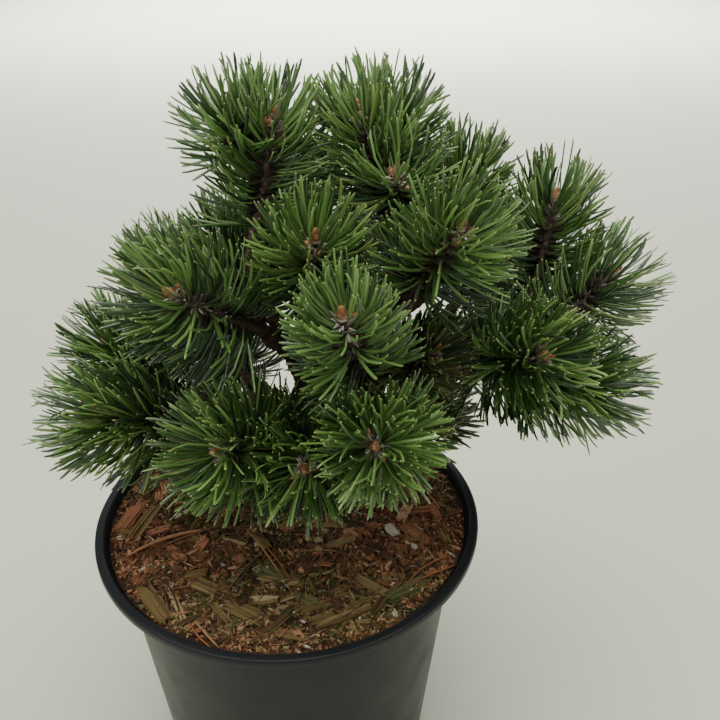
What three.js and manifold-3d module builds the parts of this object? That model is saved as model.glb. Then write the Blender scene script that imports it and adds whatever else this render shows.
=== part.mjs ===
// A young mugo pine in a round nursery pot.
// Millimetres, +Z up. The origin is the centre of the pot's flat underside.
// Bearings are degrees round +Z from +X, rises are degrees above level.

import * as THREE from "three";
import { mergeVertices } from "three/addons/utils/BufferGeometryUtils.js";
import Module from "manifold-3d";

const wasm = await Module();
wasm.setup();
const { Manifold, Mesh: SolidMesh } = wasm;

// ---------- driving dimensions ----------

const GAP = 0.35; // clear space between two pieces that touch

const POT = {
  height: 155,
  rimRadius: 95,
  lipWidth: 4.2,
  lipDepth: 4,
  flareDepth: 11.5, // the wall flares out between this depth and the lip
  flare: 6.9, // extra radius under the lip
  flarePower: 1.6,
  wallTopRadius: 85, // outside, if the wall ran straight to the top
  footRadius: 71,
  footRound: 2.5,
  wall: 1.6,
  floor: 2.6,
  drains: 8,
  drainRadius: 5.5,
  drainCircle: 54,
  sides: 40,
};

const SOIL = {
  level: 152, // ground level at the trunk
  edgeDrop: 0.8, // the fill is this much lower at the wall
  flatRadius: 32, // level spot that the trunk stands in
  bump: 1.5,
  rings: [0, 32, 50, 69],
  sides: 20,
  chips: 14,
};

const TRUNK = {
  foot: [10, 12],
  head: [25, 8, 214],
  footRadius: 9.5,
  headRadius: 6.6,
  flare: 5, // extra radius of the root flare at the ground
  flareShare: 0.24, // share of the height that the flare takes
  buttresses: 5,
};

const LIMB = {
  tipRadius: 3,
  share: 0.7, // of the parent's radius, at the fork
  mostRadius: 5,
  sides: 6,
  steps: 5,
};

const SHOOT = {
  radius: 2.9,
  corners: 4,
  clearOfMain: 12, // a side shoot is bare until it is this far from its main shoot
  budRadius: 3.3,
  budLength: 9,
};

// Needles stand in whorls. Each is a four-faced blade that stands for a few real ones.
const NEEDLE = {
  perWhorl: 8,
  spacing: 5.4, // mm of shoot for each whorl
  start: 0.13, // the shoot is bare below this share of its length
  openBase: 98, // degrees off the shoot, at its foot
  openTip: 36, // and at its bud
  openJitter: 9,
  rollJitter: 11,
  whorlJitter: 8,
  notch: 7, // the gap between two needles starts this far off the shoot's centre line
  thick: 2.2, // at the shoot, along it
  halfWidth: 2.6, // at the notch
  shorter: [1, 0.82, 0.66, 0.5, 0.36, 0.24], // shares of the length tried, until one is clear
  least: 4.5, // but never less than this
  apart: 1.2, // clear space between needles of two shoots of one mass
};

// Each mass of needles: the limb that its bough grows on and where it leaves (a share of that limb's length),
// then its end bud by bearing, reach from the pot's axis and height, the way its shoot points, the shoot's
// length, the needles' length, and its side shoots, each to a bud of its own.
const CROWN = [
  // leader and the upper storey
  { name: "top", on: "trunk", at: 1, bud: [32, 41, 346], aim: [165, 68], shoot: 52, leaf: 29,
    sides: [{ bud: [38, 64, 343], from: 0.3 }, { bud: [5, 51, 324], from: 0.1 }] },
  { name: "top_left", on: "trunk", at: 0.93, bud: [82, 15, 346], aim: [20, 76], shoot: 54, leaf: 29,
    sides: [{ bud: [132, 27, 346], from: 0.45 }] },
  { name: "high_right", on: "back_high", at: 0.5, bud: [39, 112, 310], aim: [60, 68], shoot: 48, leaf: 31 },
  { name: "back_high", on: "trunk", at: 0.9, bud: [60, 120, 288], aim: [75, 50], shoot: 50, leaf: 31 },
  { name: "back", on: "top_left", at: 0.35, bud: [80, 66, 306], aim: [88, 62], shoot: 48, leaf: 30 },
  // middle storey
  { name: "centre", on: "trunk", at: 0.8, bud: [-64, 67, 292], aim: [-112, 58], shoot: 52, leaf: 28 },
  { name: "centre_left", on: "centre", at: 0.3, bud: [-47, 27, 305], aim: [-75, 56], shoot: 48, leaf: 32 },
  { name: "centre_right", on: "top", at: 0.22, bud: [-22, 80, 314], aim: [-58, 50], shoot: 52, leaf: 32 },
  { name: "upper_right", on: "back_right", at: 0.6, bud: [19, 134, 302], aim: [38, 78], shoot: 54, leaf: 31 },
  { name: "back_right", on: "trunk", at: 0.74, bud: [40, 152, 262], aim: [42, 34], shoot: 50, leaf: 31 },
  { name: "far_right", on: "right", at: 0.6, bud: [10, 156, 271], aim: [16, 36], shoot: 46, leaf: 33 },
  { name: "right", on: "trunk", at: 0.6, bud: [-15, 114, 260], aim: [-64, 30], shoot: 52, leaf: 32,
    sides: [{ bud: [-7, 141, 237], from: 0.12 }] },
  { name: "left", on: "trunk", at: 0.66, bud: [-135, 51, 290], aim: [-135, 36], shoot: 52, leaf: 35 },
  { name: "outer_left", on: "left", at: 0.3, bud: [173, 82, 245], aim: [169, 34], shoot: 44, leaf: 30 },
  { name: "upper_left", on: "top_left", at: 0.25, bud: [124, 50, 286], aim: [134, 60], shoot: 46, leaf: 29 },
  { name: "back_left", on: "outer_left", at: 0.3, bud: [135, 92, 262], aim: [132, 42], shoot: 48, leaf: 32 },
  { name: "back_middle", on: "back_low", at: 0.45, bud: [90, 112, 264], aim: [94, 48], shoot: 48, leaf: 31 },
  // lower storey
  { name: "front", on: "trunk", at: 0.5, bud: [-61, 86, 248], aim: [-98, 28], shoot: 52, leaf: 31 },
  { name: "front_left", on: "trunk", at: 0.4, bud: [-108, 63, 234], aim: [-118, 28], shoot: 50, leaf: 34 },
  { name: "front_middle", on: "trunk", at: 0.28, bud: [-76, 57, 223], aim: [-92, 20], shoot: 46, leaf: 33 },
  { name: "far_left", on: "trunk", at: 0.46, bud: [-162, 83, 227], aim: [-158, 14], shoot: 50, leaf: 35 },
  { name: "inner_left", on: "trunk", at: 0.5, bud: [150, 46, 206], aim: [158, 8], shoot: 32, leaf: 30 },
  { name: "back_left_low", on: "trunk", at: 0.34, bud: [116, 104, 212], aim: [118, 18], shoot: 50, leaf: 31 },
  { name: "back_low", on: "trunk", at: 0.44, bud: [73, 134, 226], aim: [74, 20], shoot: 50, leaf: 31 },
  { name: "back_right_low", on: "back_right", at: 0.4, bud: [33, 143, 218], aim: [30, 8], shoot: 48, leaf: 31 },
  { name: "low_right", on: "trunk", at: 0.3, bud: [10, 78, 205], aim: [12, 12], shoot: 40, leaf: 26 },
  { name: "inner_right", on: "right", at: 0.35, bud: [-10, 69, 252], aim: [-50, 40], shoot: 42, leaf: 28 },
];

const COLOUR = {
  pot: 0x1f2123,
  soil: 0x55402a,
  bark: 0x4a3b30,
  needles: 0x2f5426,
};

// ---------- small helpers ----------

const rad = THREE.MathUtils.degToRad;
const vec = (x, y, z) => new THREE.Vector3(x, y, z);
const mix = THREE.MathUtils.lerp;

// A repeatable number from 0 to 1 for each (seed, index).
function chance(seed, index) {
  const s = Math.sin(seed * 127.1 + index * 311.7) * 43758.5453;
  return s - Math.floor(s);
}

// The unit vector at a bearing and rise.
function towards([bearing, rise]) {
  const level = Math.cos(rad(rise));
  return vec(level * Math.cos(rad(bearing)), level * Math.sin(rad(bearing)), Math.sin(rad(rise)));
}

// The point at a bearing, reach and height from the pot's axis.
function around([bearing, reach, height]) {
  return vec(reach * Math.cos(rad(bearing)), reach * Math.sin(rad(bearing)), height);
}

// axis turned away by `open` degrees, towards the side that `roll` degrees gives.
function splay(axis, open, roll) {
  const helper = Math.abs(axis.z) < 0.9 ? vec(0, 0, 1) : vec(1, 0, 0);
  const side = vec().crossVectors(helper, axis).normalize();
  side.applyAxisAngle(axis, rad(roll));
  return axis.clone().multiplyScalar(Math.cos(rad(open))).addScaledVector(side, Math.sin(rad(open)));
}

// A three.js geometry as a solid.
function solid(geometry) {
  geometry.deleteAttribute("normal");
  geometry.deleteAttribute("uv");
  const merged = mergeVertices(geometry, 1e-4);
  const index = merged.index.array;
  const faces = [];
  for (let i = 0; i < index.length; i += 3) {
    const [a, b, c] = index.slice(i, i + 3);
    if (a !== b && b !== c && c !== a) faces.push(a, b, c);
  }
  return new Manifold(new SolidMesh({
    numProp: 3,
    vertProperties: merged.attributes.position.array,
    triVerts: new Uint32Array(faces),
  }));
}

// The largest body of a solid, as a three.js geometry.
function geometryOf(made) {
  const whole = made.decompose().sort((a, b) => b.volume() - a.volume())[0];
  const mesh = whole.getMesh();
  const geometry = new THREE.BufferGeometry();
  geometry.setAttribute("position", new THREE.BufferAttribute(mesh.vertProperties, 3));
  geometry.setIndex(new THREE.BufferAttribute(mesh.triVerts, 1));
  return geometry;
}

// A cylinder bent along a curve. radiusAt gives its radius at a share of the length and an angle, and its
// ends can be carried on a little beyond the curve's.
function tube(curve, radiusAt, sides, steps, beyond = 0) {
  const geometry = new THREE.CylinderGeometry(1, 1, 1, sides, steps);
  const frames = curve.computeFrenetFrames(steps);
  const place = geometry.attributes.position;
  const p = vec();
  for (let i = 0; i < place.count; i++) {
    p.fromBufferAttribute(place, i);
    const share = p.y + 0.5;
    const ring = Math.round(share * steps);
    const radius = radiusAt(share, Math.atan2(p.z, p.x));
    const at = curve.getPointAt(ring / steps);
    if (ring === 0) at.addScaledVector(frames.tangents[0], -beyond);
    if (ring === steps) at.addScaledVector(frames.tangents[steps], beyond);
    at.addScaledVector(frames.binormals[ring], p.x * radius);
    at.addScaledVector(frames.normals[ring], p.z * radius);
    place.setXYZ(i, at.x, at.y, at.z);
  }
  return solid(geometry);
}

// Distance from a point to the straight line between two others.
const line = new THREE.Line3();
const nearest = vec();
function away(point, [from, to]) {
  line.set(from, to).closestPointToPoint(point, true, nearest);
  return nearest.distanceTo(point);
}

// ---------- pot and soil ----------

const lipFoot = POT.height - POT.lipDepth;
const flareFoot = POT.height - POT.flareDepth;

// The pot's radius at a height below the lip: a tapered wall that flares out near the top.
function flareShare(height) {
  return Math.min(1, Math.max(0, (height - flareFoot) / (lipFoot - flareFoot)));
}
function potOutside(height) {
  const wall = mix(POT.footRadius, POT.wallTopRadius, height / POT.height);
  return wall + POT.flare * flareShare(height) ** POT.flarePower;
}
function potInside(height) {
  return potOutside(height) - POT.wall * (1 + 0.5 * flareShare(height));
}

// Heights at which the flare is sampled, from its foot to the lip.
const flareHeights = [0, 0.4, 0.7, 1].map((share) => mix(flareFoot, lipFoot, share));

function makePot() {
  const top = POT.height;
  const rim = POT.rimRadius;
  const profile = [
    [0, 0],
    [POT.footRadius - POT.footRound, 0],
    [potOutside(POT.footRound), POT.footRound],
    ...flareHeights.map((z) => [potOutside(z), z]),
    [rim - 0.5, lipFoot],
    [rim, lipFoot + 0.5],
    [rim, top - 0.9],
    [rim - 0.9, top],
    [rim - POT.lipWidth + 0.9, top],
    [rim - POT.lipWidth, top - 0.9],
    ...[...flareHeights].reverse().map((z) => [potInside(z), z]),
    [potInside(POT.floor), POT.floor],
    [0, POT.floor],
  ];
  const shell = new THREE.LatheGeometry(profile.map(([r, z]) => new THREE.Vector2(r, z)), POT.sides);
  shell.rotateX(Math.PI / 2);
  const holes = [];
  for (let i = 0; i < POT.drains; i++) {
    const hole = new THREE.CylinderGeometry(POT.drainRadius, POT.drainRadius, 4 * POT.floor, 8);
    hole.rotateX(Math.PI / 2);
    const turn = (i * 2 * Math.PI) / POT.drains;
    hole.translate(POT.drainCircle * Math.cos(turn), POT.drainCircle * Math.sin(turn), 0);
    holes.push(solid(hole));
  }
  return solid(shell).subtract(Manifold.union(holes));
}

// Height of the fill's surface at a place, lower and rougher away from the trunk.
function soilHeight(x, y) {
  const reach = Math.hypot(x, y);
  const share = reach / potInside(SOIL.level);
  const rough = Math.sin(x * 0.11 + 1.3) * Math.cos(y * 0.13 - 0.4) + 0.6 * Math.sin((x + y) * 0.21);
  const away = Math.min(1, Math.max(0, (reach - SOIL.flatRadius) / 20));
  return SOIL.level - GAP - SOIL.edgeDrop * share * share * away + SOIL.bump * rough * away * (1 - share);
}

function makeSoil() {
  const edge = SOIL.level - SOIL.edgeDrop - GAP;
  const bottom = POT.floor + GAP;
  const inside = (z) => potInside(z) * Math.cos(Math.PI / POT.sides) - GAP;
  const profile = [
    [0, bottom],
    [inside(bottom), bottom],
    ...flareHeights.slice(0, 3).map((z) => [inside(z), z]),
    [inside(edge), edge],
    ...[...SOIL.rings].reverse().map((r) => [r, SOIL.level]),
  ];
  const fill = new THREE.LatheGeometry(profile.map(([r, z]) => new THREE.Vector2(r, z)), SOIL.sides);
  fill.rotateX(Math.PI / 2);
  const place = fill.attributes.position;
  for (let i = 0; i < place.count; i++)
    if (place.getZ(i) > edge + 0.1) place.setZ(i, soilHeight(place.getX(i), place.getY(i)));
  const pieces = [solid(fill)];
  // Bark chips half sunk in the surface, clear of the trunk's flare.
  for (let i = 0; i < SOIL.chips; i++) {
    const reach = mix(SOIL.flatRadius, potInside(edge) - 14, Math.sqrt(chance(7, i)));
    const turn = 2 * Math.PI * chance(11, i);
    const length = mix(7, 17, chance(13, i));
    const width = mix(3, 6, chance(17, i));
    const thick = mix(1.6, 2.6, chance(19, i));
    const chip = new THREE.BoxGeometry(length, width, thick);
    chip.rotateY(mix(-0.16, 0.16, chance(23, i)));
    chip.rotateZ(2 * Math.PI * chance(29, i));
    const x = reach * Math.cos(turn);
    const y = reach * Math.sin(turn);
    chip.translate(x, y, soilHeight(x, y) + 0.3);
    pieces.push(solid(chip));
  }
  return Manifold.union(pieces);
}

// ---------- trunk and boughs ----------

// A limb's centre line, leaving and arriving along given directions.
function limbCurve(from, leaving, to, arriving) {
  const reach = from.distanceTo(to);
  const first = from.clone().addScaledVector(leaving, reach * 0.38);
  const second = to.clone().addScaledVector(arriving, -reach * 0.34);
  return new THREE.CubicBezierCurve3(from, first, second, to);
}

function makeTrunk() {
  const foot = vec(...TRUNK.foot, SOIL.level);
  const head = vec(...TRUNK.head);
  const curve = limbCurve(foot, vec(0, 0, 1), head, towards([40, 72]));
  const radius = (share, angle) => {
    const flare = Math.max(0, 1 - share / TRUNK.flareShare) ** 2 * TRUNK.flare;
    const lobes = 1 + 0.35 * Math.cos(TRUNK.buttresses * angle);
    return mix(TRUNK.footRadius, TRUNK.headRadius, share) + flare * lobes;
  };
  return { name: "trunk", curve, radius, sides: 15, steps: 9 };
}

// The bough under each mass, from its fork to the foot of the shoot it carries.
function makeBough(row, limbs) {
  const parent = limbs.get(row.on);
  const aim = towards(row.aim);
  const tip = around(row.bud).addScaledVector(aim, -row.shoot);
  const from = parent.curve.getPointAt(row.at);
  const along = parent.curve.getTangentAt(row.at);
  const leader = row.at === 1;
  if (leader) from.addScaledVector(along, GAP);
  const outward = tip.clone().sub(from).normalize();
  const leaving = leader ? along : outward.multiplyScalar(1.2).add(vec(0, 0, 0.25)).normalize();
  const parentRadius = parent.radius(row.at, 0);
  const forkRadius = THREE.MathUtils.clamp(LIMB.share * parentRadius, LIMB.tipRadius, LIMB.mostRadius);
  const thick = leader ? parentRadius : forkRadius;
  const radius = (share) => mix(thick, LIMB.tipRadius, share ** 0.8);
  const curve = limbCurve(from, leaving, tip, aim);
  return { name: row.name, parent, leader, curve, radius, sides: LIMB.sides, steps: LIMB.steps };
}

function limbSolid(limb, extra = 0) {
  const radius = (share, angle) => limb.radius(share, angle) + extra;
  return tube(limb.curve, radius, limb.sides, limb.steps, extra);
}

// The limb's centre line as short straight stretches, each with its radius.
function stretches(limb, count = 10) {
  const points = limb.curve.getSpacedPoints(count);
  return points.slice(1).map((to, i) => ({ span: [points[i], to], radius: limb.radius(i / count, 0) }));
}

// ---------- masses of needles ----------

// The shoots of one mass: the main one, then its side shoots.
function shootsOf(row) {
  const aim = towards(row.aim);
  const bud = around(row.bud);
  const foot = bud.clone().addScaledVector(aim, GAP - row.shoot);
  const ends = [{ foot, end: bud }];
  for (const side of row.sides ?? [])
    ends.push({ foot: foot.clone().addScaledVector(aim, side.from * row.shoot), end: around(side.bud) });
  return ends.map(({ foot, end }) => {
    const way = end.clone().sub(foot).normalize();
    const tip = end.clone().addScaledVector(way, SHOOT.budLength * 0.8);
    return { foot, aim: way, length: foot.distanceTo(end), span: [foot, tip] };
  });
}

// True if a blade from foot to tip keeps to its mass's own space, clear of the other masses, the limbs, the
// soil and the pot.
function fits(foot, tip, own, others, limbs) {
  const samples = Math.ceil(foot.distanceTo(tip) / 2.5);
  for (let i = 1; i <= samples; i++) {
    const share = i / samples;
    const point = foot.clone().lerp(tip, share);
    const thick = NEEDLE.halfWidth * (1 - share) + 0.2;
    if (point.z < POT.height + 4) return false;
    if (limbs.some(({ span, radius }) => away(point, span) < radius + thick + 2 * GAP)) return false;
    const home = Math.min(...own.map((shoot) => away(point, shoot.span)));
    if (others.some((shoot) => away(point, shoot.span) < home + 2 * thick + GAP)) return false;
  }
  return true;
}

// True if a blade crosses no other shoot of its mass and no needle that already stands on one.
function apart(foot, tip, grown, stems) {
  for (let i = 1; i <= 12; i++) {
    const point = foot.clone().lerp(tip, i / 12);
    const reach = NEEDLE.halfWidth * (1 - i / 12) + NEEDLE.apart;
    if (stems.some((span) => away(point, span) < reach + SHOOT.radius)) return false;
    if (grown.some((span) => away(point, span) < reach)) return false;
  }
  return true;
}

// The whorls of a shoot, from its foot to its bud. A whorl's rim has by turns the tip of a needle and the
// notch between two, each pulled in until it is clear.
function whorlsOf(shoot, seed, leaf, bare, clear) {
  const count = Math.round((shoot.length - bare) / NEEDLE.spacing);
  const pitch = 180 / NEEDLE.perWhorl;
  return Array.from({ length: count }, (_, w) => {
    const rise = (w + 0.5) / count;
    const height = mix(bare, shoot.length, rise);
    const foot = shoot.foot.clone().addScaledVector(shoot.aim, height);
    const open = mix(NEEDLE.openBase, NEEDLE.openTip, rise ** 1.6);
    const turn = NEEDLE.whorlJitter * (chance(seed, w) - 0.5);
    const rim = Array.from({ length: 2 * NEEDLE.perWhorl }, (_, k) => {
      const notch = (k + w) % 2 === 1;
      const lean = notch ? 0 : NEEDLE.openJitter * (chance(seed + w, 3 * k) - 0.5);
      const roll = pitch * k + turn + (notch ? 0 : NEEDLE.rollJitter * (chance(seed + w, 3 * k + 1) - 0.5));
      const way = splay(shoot.aim, open + lean, roll);
      const grown = leaf * mix(0.84, 1.08, chance(seed + w, 3 * k + 2));
      const full = notch ? NEEDLE.notch / Math.sin(rad(open)) : grown;
      const lengths = NEEDLE.shorter.map((share) => Math.max(full * share, NEEDLE.least));
      const tips = lengths.map((length) => foot.clone().addScaledVector(way, length));
      return tips.find((tip) => clear(foot, tip)) ?? tips.at(-1);
    });
    return { height, foot, rim };
  });
}

// A shoot, its needles and the bud at its end as one turned surface. Round the stem the points of a ring
// fall together on its few corners, in a whorl they spread to the rim. The shifts split both faces of a
// whorl into triangles alike, with each corner's share of the rim ending at a notch.
function shootSolid(shoot, whorls) {
  const columns = 2 * NEEDLE.perWhorl;
  const ring = (height, radius, shift = 0) => Array.from({ length: columns }, (_, k) => {
    const corner = Math.floor((((k + shift + columns) % columns) * SHOOT.corners) / columns) + 0.5;
    const side = splay(shoot.aim, 90, (360 * corner) / SHOOT.corners - 180 / columns);
    return shoot.foot.clone().addScaledVector(shoot.aim, height).addScaledVector(side, radius);
  });
  const stem = (height, shift) => ring(height, SHOOT.radius * mix(1, 0.85, height / shoot.length), shift);
  const half = NEEDLE.thick / 2;
  const rings = [ring(0, 0), stem(0, 0)];
  for (const [w, { height, rim }] of whorls.entries())
    rings.push(stem(height - half, -(w % 2)), rim, stem(height + half, 1 - (w % 2)));
  rings.push(ring(shoot.length + SHOOT.budLength * 0.4, SHOOT.budRadius));
  rings.push(ring(shoot.length + SHOOT.budLength, 0));
  const shape = new THREE.LatheGeometry(rings.map((_, j) => new THREE.Vector2(1, j)), columns);
  const place = shape.attributes.position;
  for (let i = 0; i < place.count; i++) {
    const at = rings[i % rings.length][Math.floor(i / rings.length) % columns];
    place.setXYZ(i, at.x, at.y, at.z);
  }
  return solid(shape);
}

function makeMass(row, seed, own, others, limbs) {
  const pieces = [];
  const grown = [];
  for (const [k, shoot] of own.entries()) {
    const stems = own.filter((other) => other !== shoot).map((other) => other.span);
    const clear = (foot, tip) => fits(foot, tip, own, others, limbs) && apart(foot, tip, grown, stems);
    const spread = shoot.aim.angleTo(own[0].aim);
    const bare = k ? SHOOT.clearOfMain / Math.sin(spread) : NEEDLE.start * shoot.length;
    const whorls = whorlsOf(shoot, 10 * seed + k, row.leaf, Math.min(bare, 0.6 * shoot.length), clear);
    pieces.push(shootSolid(shoot, whorls));
    for (const { foot, rim } of whorls) grown.push(...rim.map((tip) => [foot, tip]));
  }
  return Manifold.union(pieces);
}

// ---------- the whole plant ----------

const finish = {
  pot: new THREE.MeshStandardMaterial({ color: COLOUR.pot, roughness: 0.42, metalness: 0 }),
  soil: new THREE.MeshStandardMaterial({ color: COLOUR.soil, roughness: 0.95, metalness: 0 }),
  bark: new THREE.MeshStandardMaterial({ color: COLOUR.bark, roughness: 0.9, metalness: 0 }),
  needles: new THREE.MeshStandardMaterial({ color: COLOUR.needles, roughness: 0.5, metalness: 0 }),
};

const plant = new THREE.Group();

function add(name, made, material) {
  const mesh = new THREE.Mesh(geometryOf(made), material);
  mesh.name = name;
  plant.add(mesh);
}

add("pot", makePot(), finish.pot);
add("soil", makeSoil(), finish.soil);

const limbs = new Map([["trunk", makeTrunk()]]);
const waiting = [...CROWN];
while (waiting.length) {
  const row = waiting.shift();
  if (limbs.has(row.on)) limbs.set(row.name, makeBough(row, limbs));
  else waiting.push(row);
}
// Each limb is cut clear of those before it.
const before = [];
for (const limb of limbs.values()) {
  const made = before.length ? limbSolid(limb).subtract(Manifold.union(before)) : limbSolid(limb);
  before.push(limbSolid(limb, GAP + 0.25));
  add(limb.name === "trunk" ? "trunk" : "bough_" + limb.name, made, finish.bark);
}

const spans = [...limbs.values()].flatMap((limb) => stretches(limb));
const shoots = CROWN.map((row) => shootsOf(row));
for (const [i, row] of CROWN.entries()) {
  const others = shoots.filter((_, k) => k !== i).flat();
  add("needles_" + row.name, makeMass(row, i + 1, shoots[i], others, spans), finish.needles);
}

export default plant;
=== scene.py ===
# %% [markdown]
# # A young mugo pine in a nursery pot
# The solid model gives the frame: a pot, its fill, a trunk, 27 boughs and 27 masses of needles,
# each a solid of its own. Here every one of them gets its real surface. All sizes are in
# millimetres and become metres only when a mesh is made, and +Z is up from the pot's underside.

import bpy
import numpy as np
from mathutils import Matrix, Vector


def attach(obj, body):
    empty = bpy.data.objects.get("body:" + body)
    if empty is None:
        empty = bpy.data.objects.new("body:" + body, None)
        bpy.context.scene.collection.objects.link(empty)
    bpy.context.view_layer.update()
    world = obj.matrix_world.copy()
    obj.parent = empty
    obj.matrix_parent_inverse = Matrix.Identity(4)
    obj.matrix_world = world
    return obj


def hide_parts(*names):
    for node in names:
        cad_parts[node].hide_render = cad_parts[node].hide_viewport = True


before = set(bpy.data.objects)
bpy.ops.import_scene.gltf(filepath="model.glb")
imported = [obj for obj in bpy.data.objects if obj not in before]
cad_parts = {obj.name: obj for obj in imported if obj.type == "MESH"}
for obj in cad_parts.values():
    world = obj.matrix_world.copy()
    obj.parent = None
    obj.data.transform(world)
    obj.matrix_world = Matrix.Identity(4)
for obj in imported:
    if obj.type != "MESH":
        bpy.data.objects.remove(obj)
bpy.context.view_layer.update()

# %% [markdown]
# ## Named sizes
# The plant is grown twice by one rule: coarsely in the solids, finely here. So the sizes of the
# pot, the trunk and the crown stand here again. A row of the crown names a mass, the limb that its
# bough grows on and where, its end bud (bearing, reach, height), the way its shoot points
# (bearing, rise), the length of that shoot and of its needles, and any side shoots.

# %% Sizes
MM = 0.001
POT = dict(
    height=155.0, rim=95.0, lip_width=4.2, lip_depth=4.0, flare_depth=11.5, flare=6.9, flare_power=1.6,
    wall_top=85.0, foot=71.0, wall=1.6, floor=2.6,
)
DRAINS = dict(count=8, radius=5.5, circle=54.0, inner=45.0, outer=63.0)
FILL = dict(level=152.0, edge_drop=0.8, flat=32.0, bump=1.5, gap=0.35)
TRUNK = dict(foot=(10.0, 12.0), head=(25.0, 8.0, 214.0), foot_radius=9.5, head_radius=6.6, flare=5.0)
LIMB = dict(tip=3.0, share=0.7, most=5.0)

CROWN = [
    ("top", "trunk", 1, (32, 41, 346), (165, 68), 52, 29, [((38, 64, 343), 0.3), ((5, 51, 324), 0.1)]),
    ("top_left", "trunk", 0.93, (82, 15, 346), (20, 76), 54, 29, [((132, 27, 346), 0.45)]),
    ("high_right", "back_high", 0.5, (39, 112, 310), (60, 68), 48, 31, []),
    ("back_high", "trunk", 0.9, (60, 120, 288), (75, 50), 50, 31, []),
    ("back", "top_left", 0.35, (80, 66, 306), (88, 62), 48, 30, []),
    ("centre", "trunk", 0.8, (-64, 67, 292), (-112, 58), 52, 28, []),
    ("centre_left", "centre", 0.3, (-47, 27, 305), (-75, 56), 48, 32, []),
    ("centre_right", "top", 0.22, (-22, 80, 314), (-58, 50), 52, 32, []),
    ("upper_right", "back_right", 0.6, (19, 134, 302), (38, 78), 54, 31, []),
    ("back_right", "trunk", 0.74, (40, 152, 262), (42, 34), 50, 31, []),
    ("far_right", "right", 0.6, (10, 156, 271), (16, 36), 46, 33, []),
    ("right", "trunk", 0.6, (-15, 114, 260), (-64, 30), 52, 32, [((-7, 141, 237), 0.12)]),
    ("left", "trunk", 0.66, (-135, 51, 290), (-135, 36), 52, 35, []),
    ("outer_left", "left", 0.3, (173, 82, 245), (169, 34), 44, 30, []),
    ("upper_left", "top_left", 0.25, (124, 50, 286), (134, 60), 46, 29, []),
    ("back_left", "outer_left", 0.3, (135, 92, 262), (132, 42), 48, 32, []),
    ("back_middle", "back_low", 0.45, (90, 112, 264), (94, 48), 48, 31, []),
    ("front", "trunk", 0.5, (-61, 86, 248), (-98, 28), 52, 31, []),
    ("front_left", "trunk", 0.4, (-108, 63, 234), (-118, 28), 50, 34, []),
    ("front_middle", "trunk", 0.28, (-76, 57, 223), (-92, 20), 46, 33, []),
    ("far_left", "trunk", 0.46, (-162, 83, 227), (-158, 14), 50, 35, []),
    ("inner_left", "trunk", 0.5, (150, 46, 206), (158, 8), 32, 30, []),
    ("back_left_low", "trunk", 0.34, (116, 104, 212), (118, 18), 50, 31, []),
    ("back_low", "trunk", 0.44, (73, 134, 226), (74, 20), 50, 31, []),
    ("back_right_low", "back_right", 0.4, (33, 143, 218), (30, 8), 48, 31, []),
    ("low_right", "trunk", 0.3, (10, 78, 205), (12, 12), 40, 26, []),
    ("inner_right", "right", 0.35, (-10, 69, 252), (-50, 40), 42, 28, []),
]
print("masses of needles:", len(CROWN))

# %% [markdown]
# ## Helpers for every piece
# A finish of one plain colour has every number on the shader's own socket, which travels well to
# other programs. A mesh is made from whole arrays: its points, and faces of four or three corners
# that say by number which points they join. One more array deals a finish to each face. Most of
# the plant is one small form copied thousands of times, so copies have a helper of their own.

# %% Plain finishes


def linear(colour):
    """A colour written as RRGGBB in the screen's scale, as the linear numbers that light adds up in."""
    screen = np.array([int(colour[i : i + 2], 16) for i in (0, 2, 4)]) / 255
    return np.where(screen <= 0.04045, screen / 12.92, ((screen + 0.055) / 1.055) ** 2.4)


def plain(name, colour, roughness, **sockets):
    """A finish of one colour all over."""
    finish = bpy.data.materials.new(name)
    finish.use_nodes = True
    shader = finish.node_tree.nodes["Principled BSDF"]
    shader.inputs["Base Color"].default_value = (*linear(colour), 1)
    shader.inputs["Roughness"].default_value = roughness
    for socket, value in sockets.items():
        shader.inputs[socket.replace("_", " ")].default_value = value
    return finish


def shades(name, colours, roughness, **sockets):
    """One plain finish for each colour of a list, numbered from 1."""
    return [plain(f"{name} {i + 1}", colour, roughness, **sockets) for i, colour in enumerate(colours)]


print("middle grey in linear numbers:", linear("808080").round(3))

# %% Meshes
SQUARE = np.array([[-1, -1], [1, -1], [1, 1], [-1, 1]], float)
NO_TRIANGLES = np.zeros((0, 3), int)


def make_piece(name, points, quads, triangles, finishes, deal=None, slot=None, stands_for=(), smooth=True):
    """A mesh object at the origin from points in millimetres. Faces of four corners come first, then
    those of three, and deal gives the number of each face's finish."""
    points = np.asarray(points).reshape(-1, 3)
    quads = np.asarray(quads, np.int32).reshape(-1, 4)
    triangles = np.asarray(triangles, np.int32).reshape(-1, 3)
    corners = np.concatenate([quads.ravel(), triangles.ravel()])
    sizes = np.concatenate([np.full(len(quads), 4), np.full(len(triangles), 3)])
    mesh = bpy.data.meshes.new(name)
    mesh.vertices.add(len(points))
    mesh.vertices.foreach_set("co", (points * MM).astype(np.float32).ravel())
    mesh.loops.add(len(corners))
    mesh.loops.foreach_set("vertex_index", corners)
    mesh.polygons.add(len(sizes))
    mesh.polygons.foreach_set("loop_start", (np.cumsum(sizes) - sizes).astype(np.int32))
    mesh.polygons.foreach_set("use_smooth", np.full(len(sizes), smooth))
    for finish in finishes:
        mesh.materials.append(finish)
    if deal is not None:
        mesh.polygons.foreach_set("material_index", np.asarray(deal, np.int32))
    mesh.update(calc_edges=True)
    piece = bpy.data.objects.new(name, mesh)
    bpy.context.collection.objects.link(piece)
    if slot:
        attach(piece, "root")
    if stands_for:
        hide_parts(*stands_for)
    print(f"{name}: {len(points)} points, {2 * len(quads) + len(triangles)} triangles")
    return piece


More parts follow.
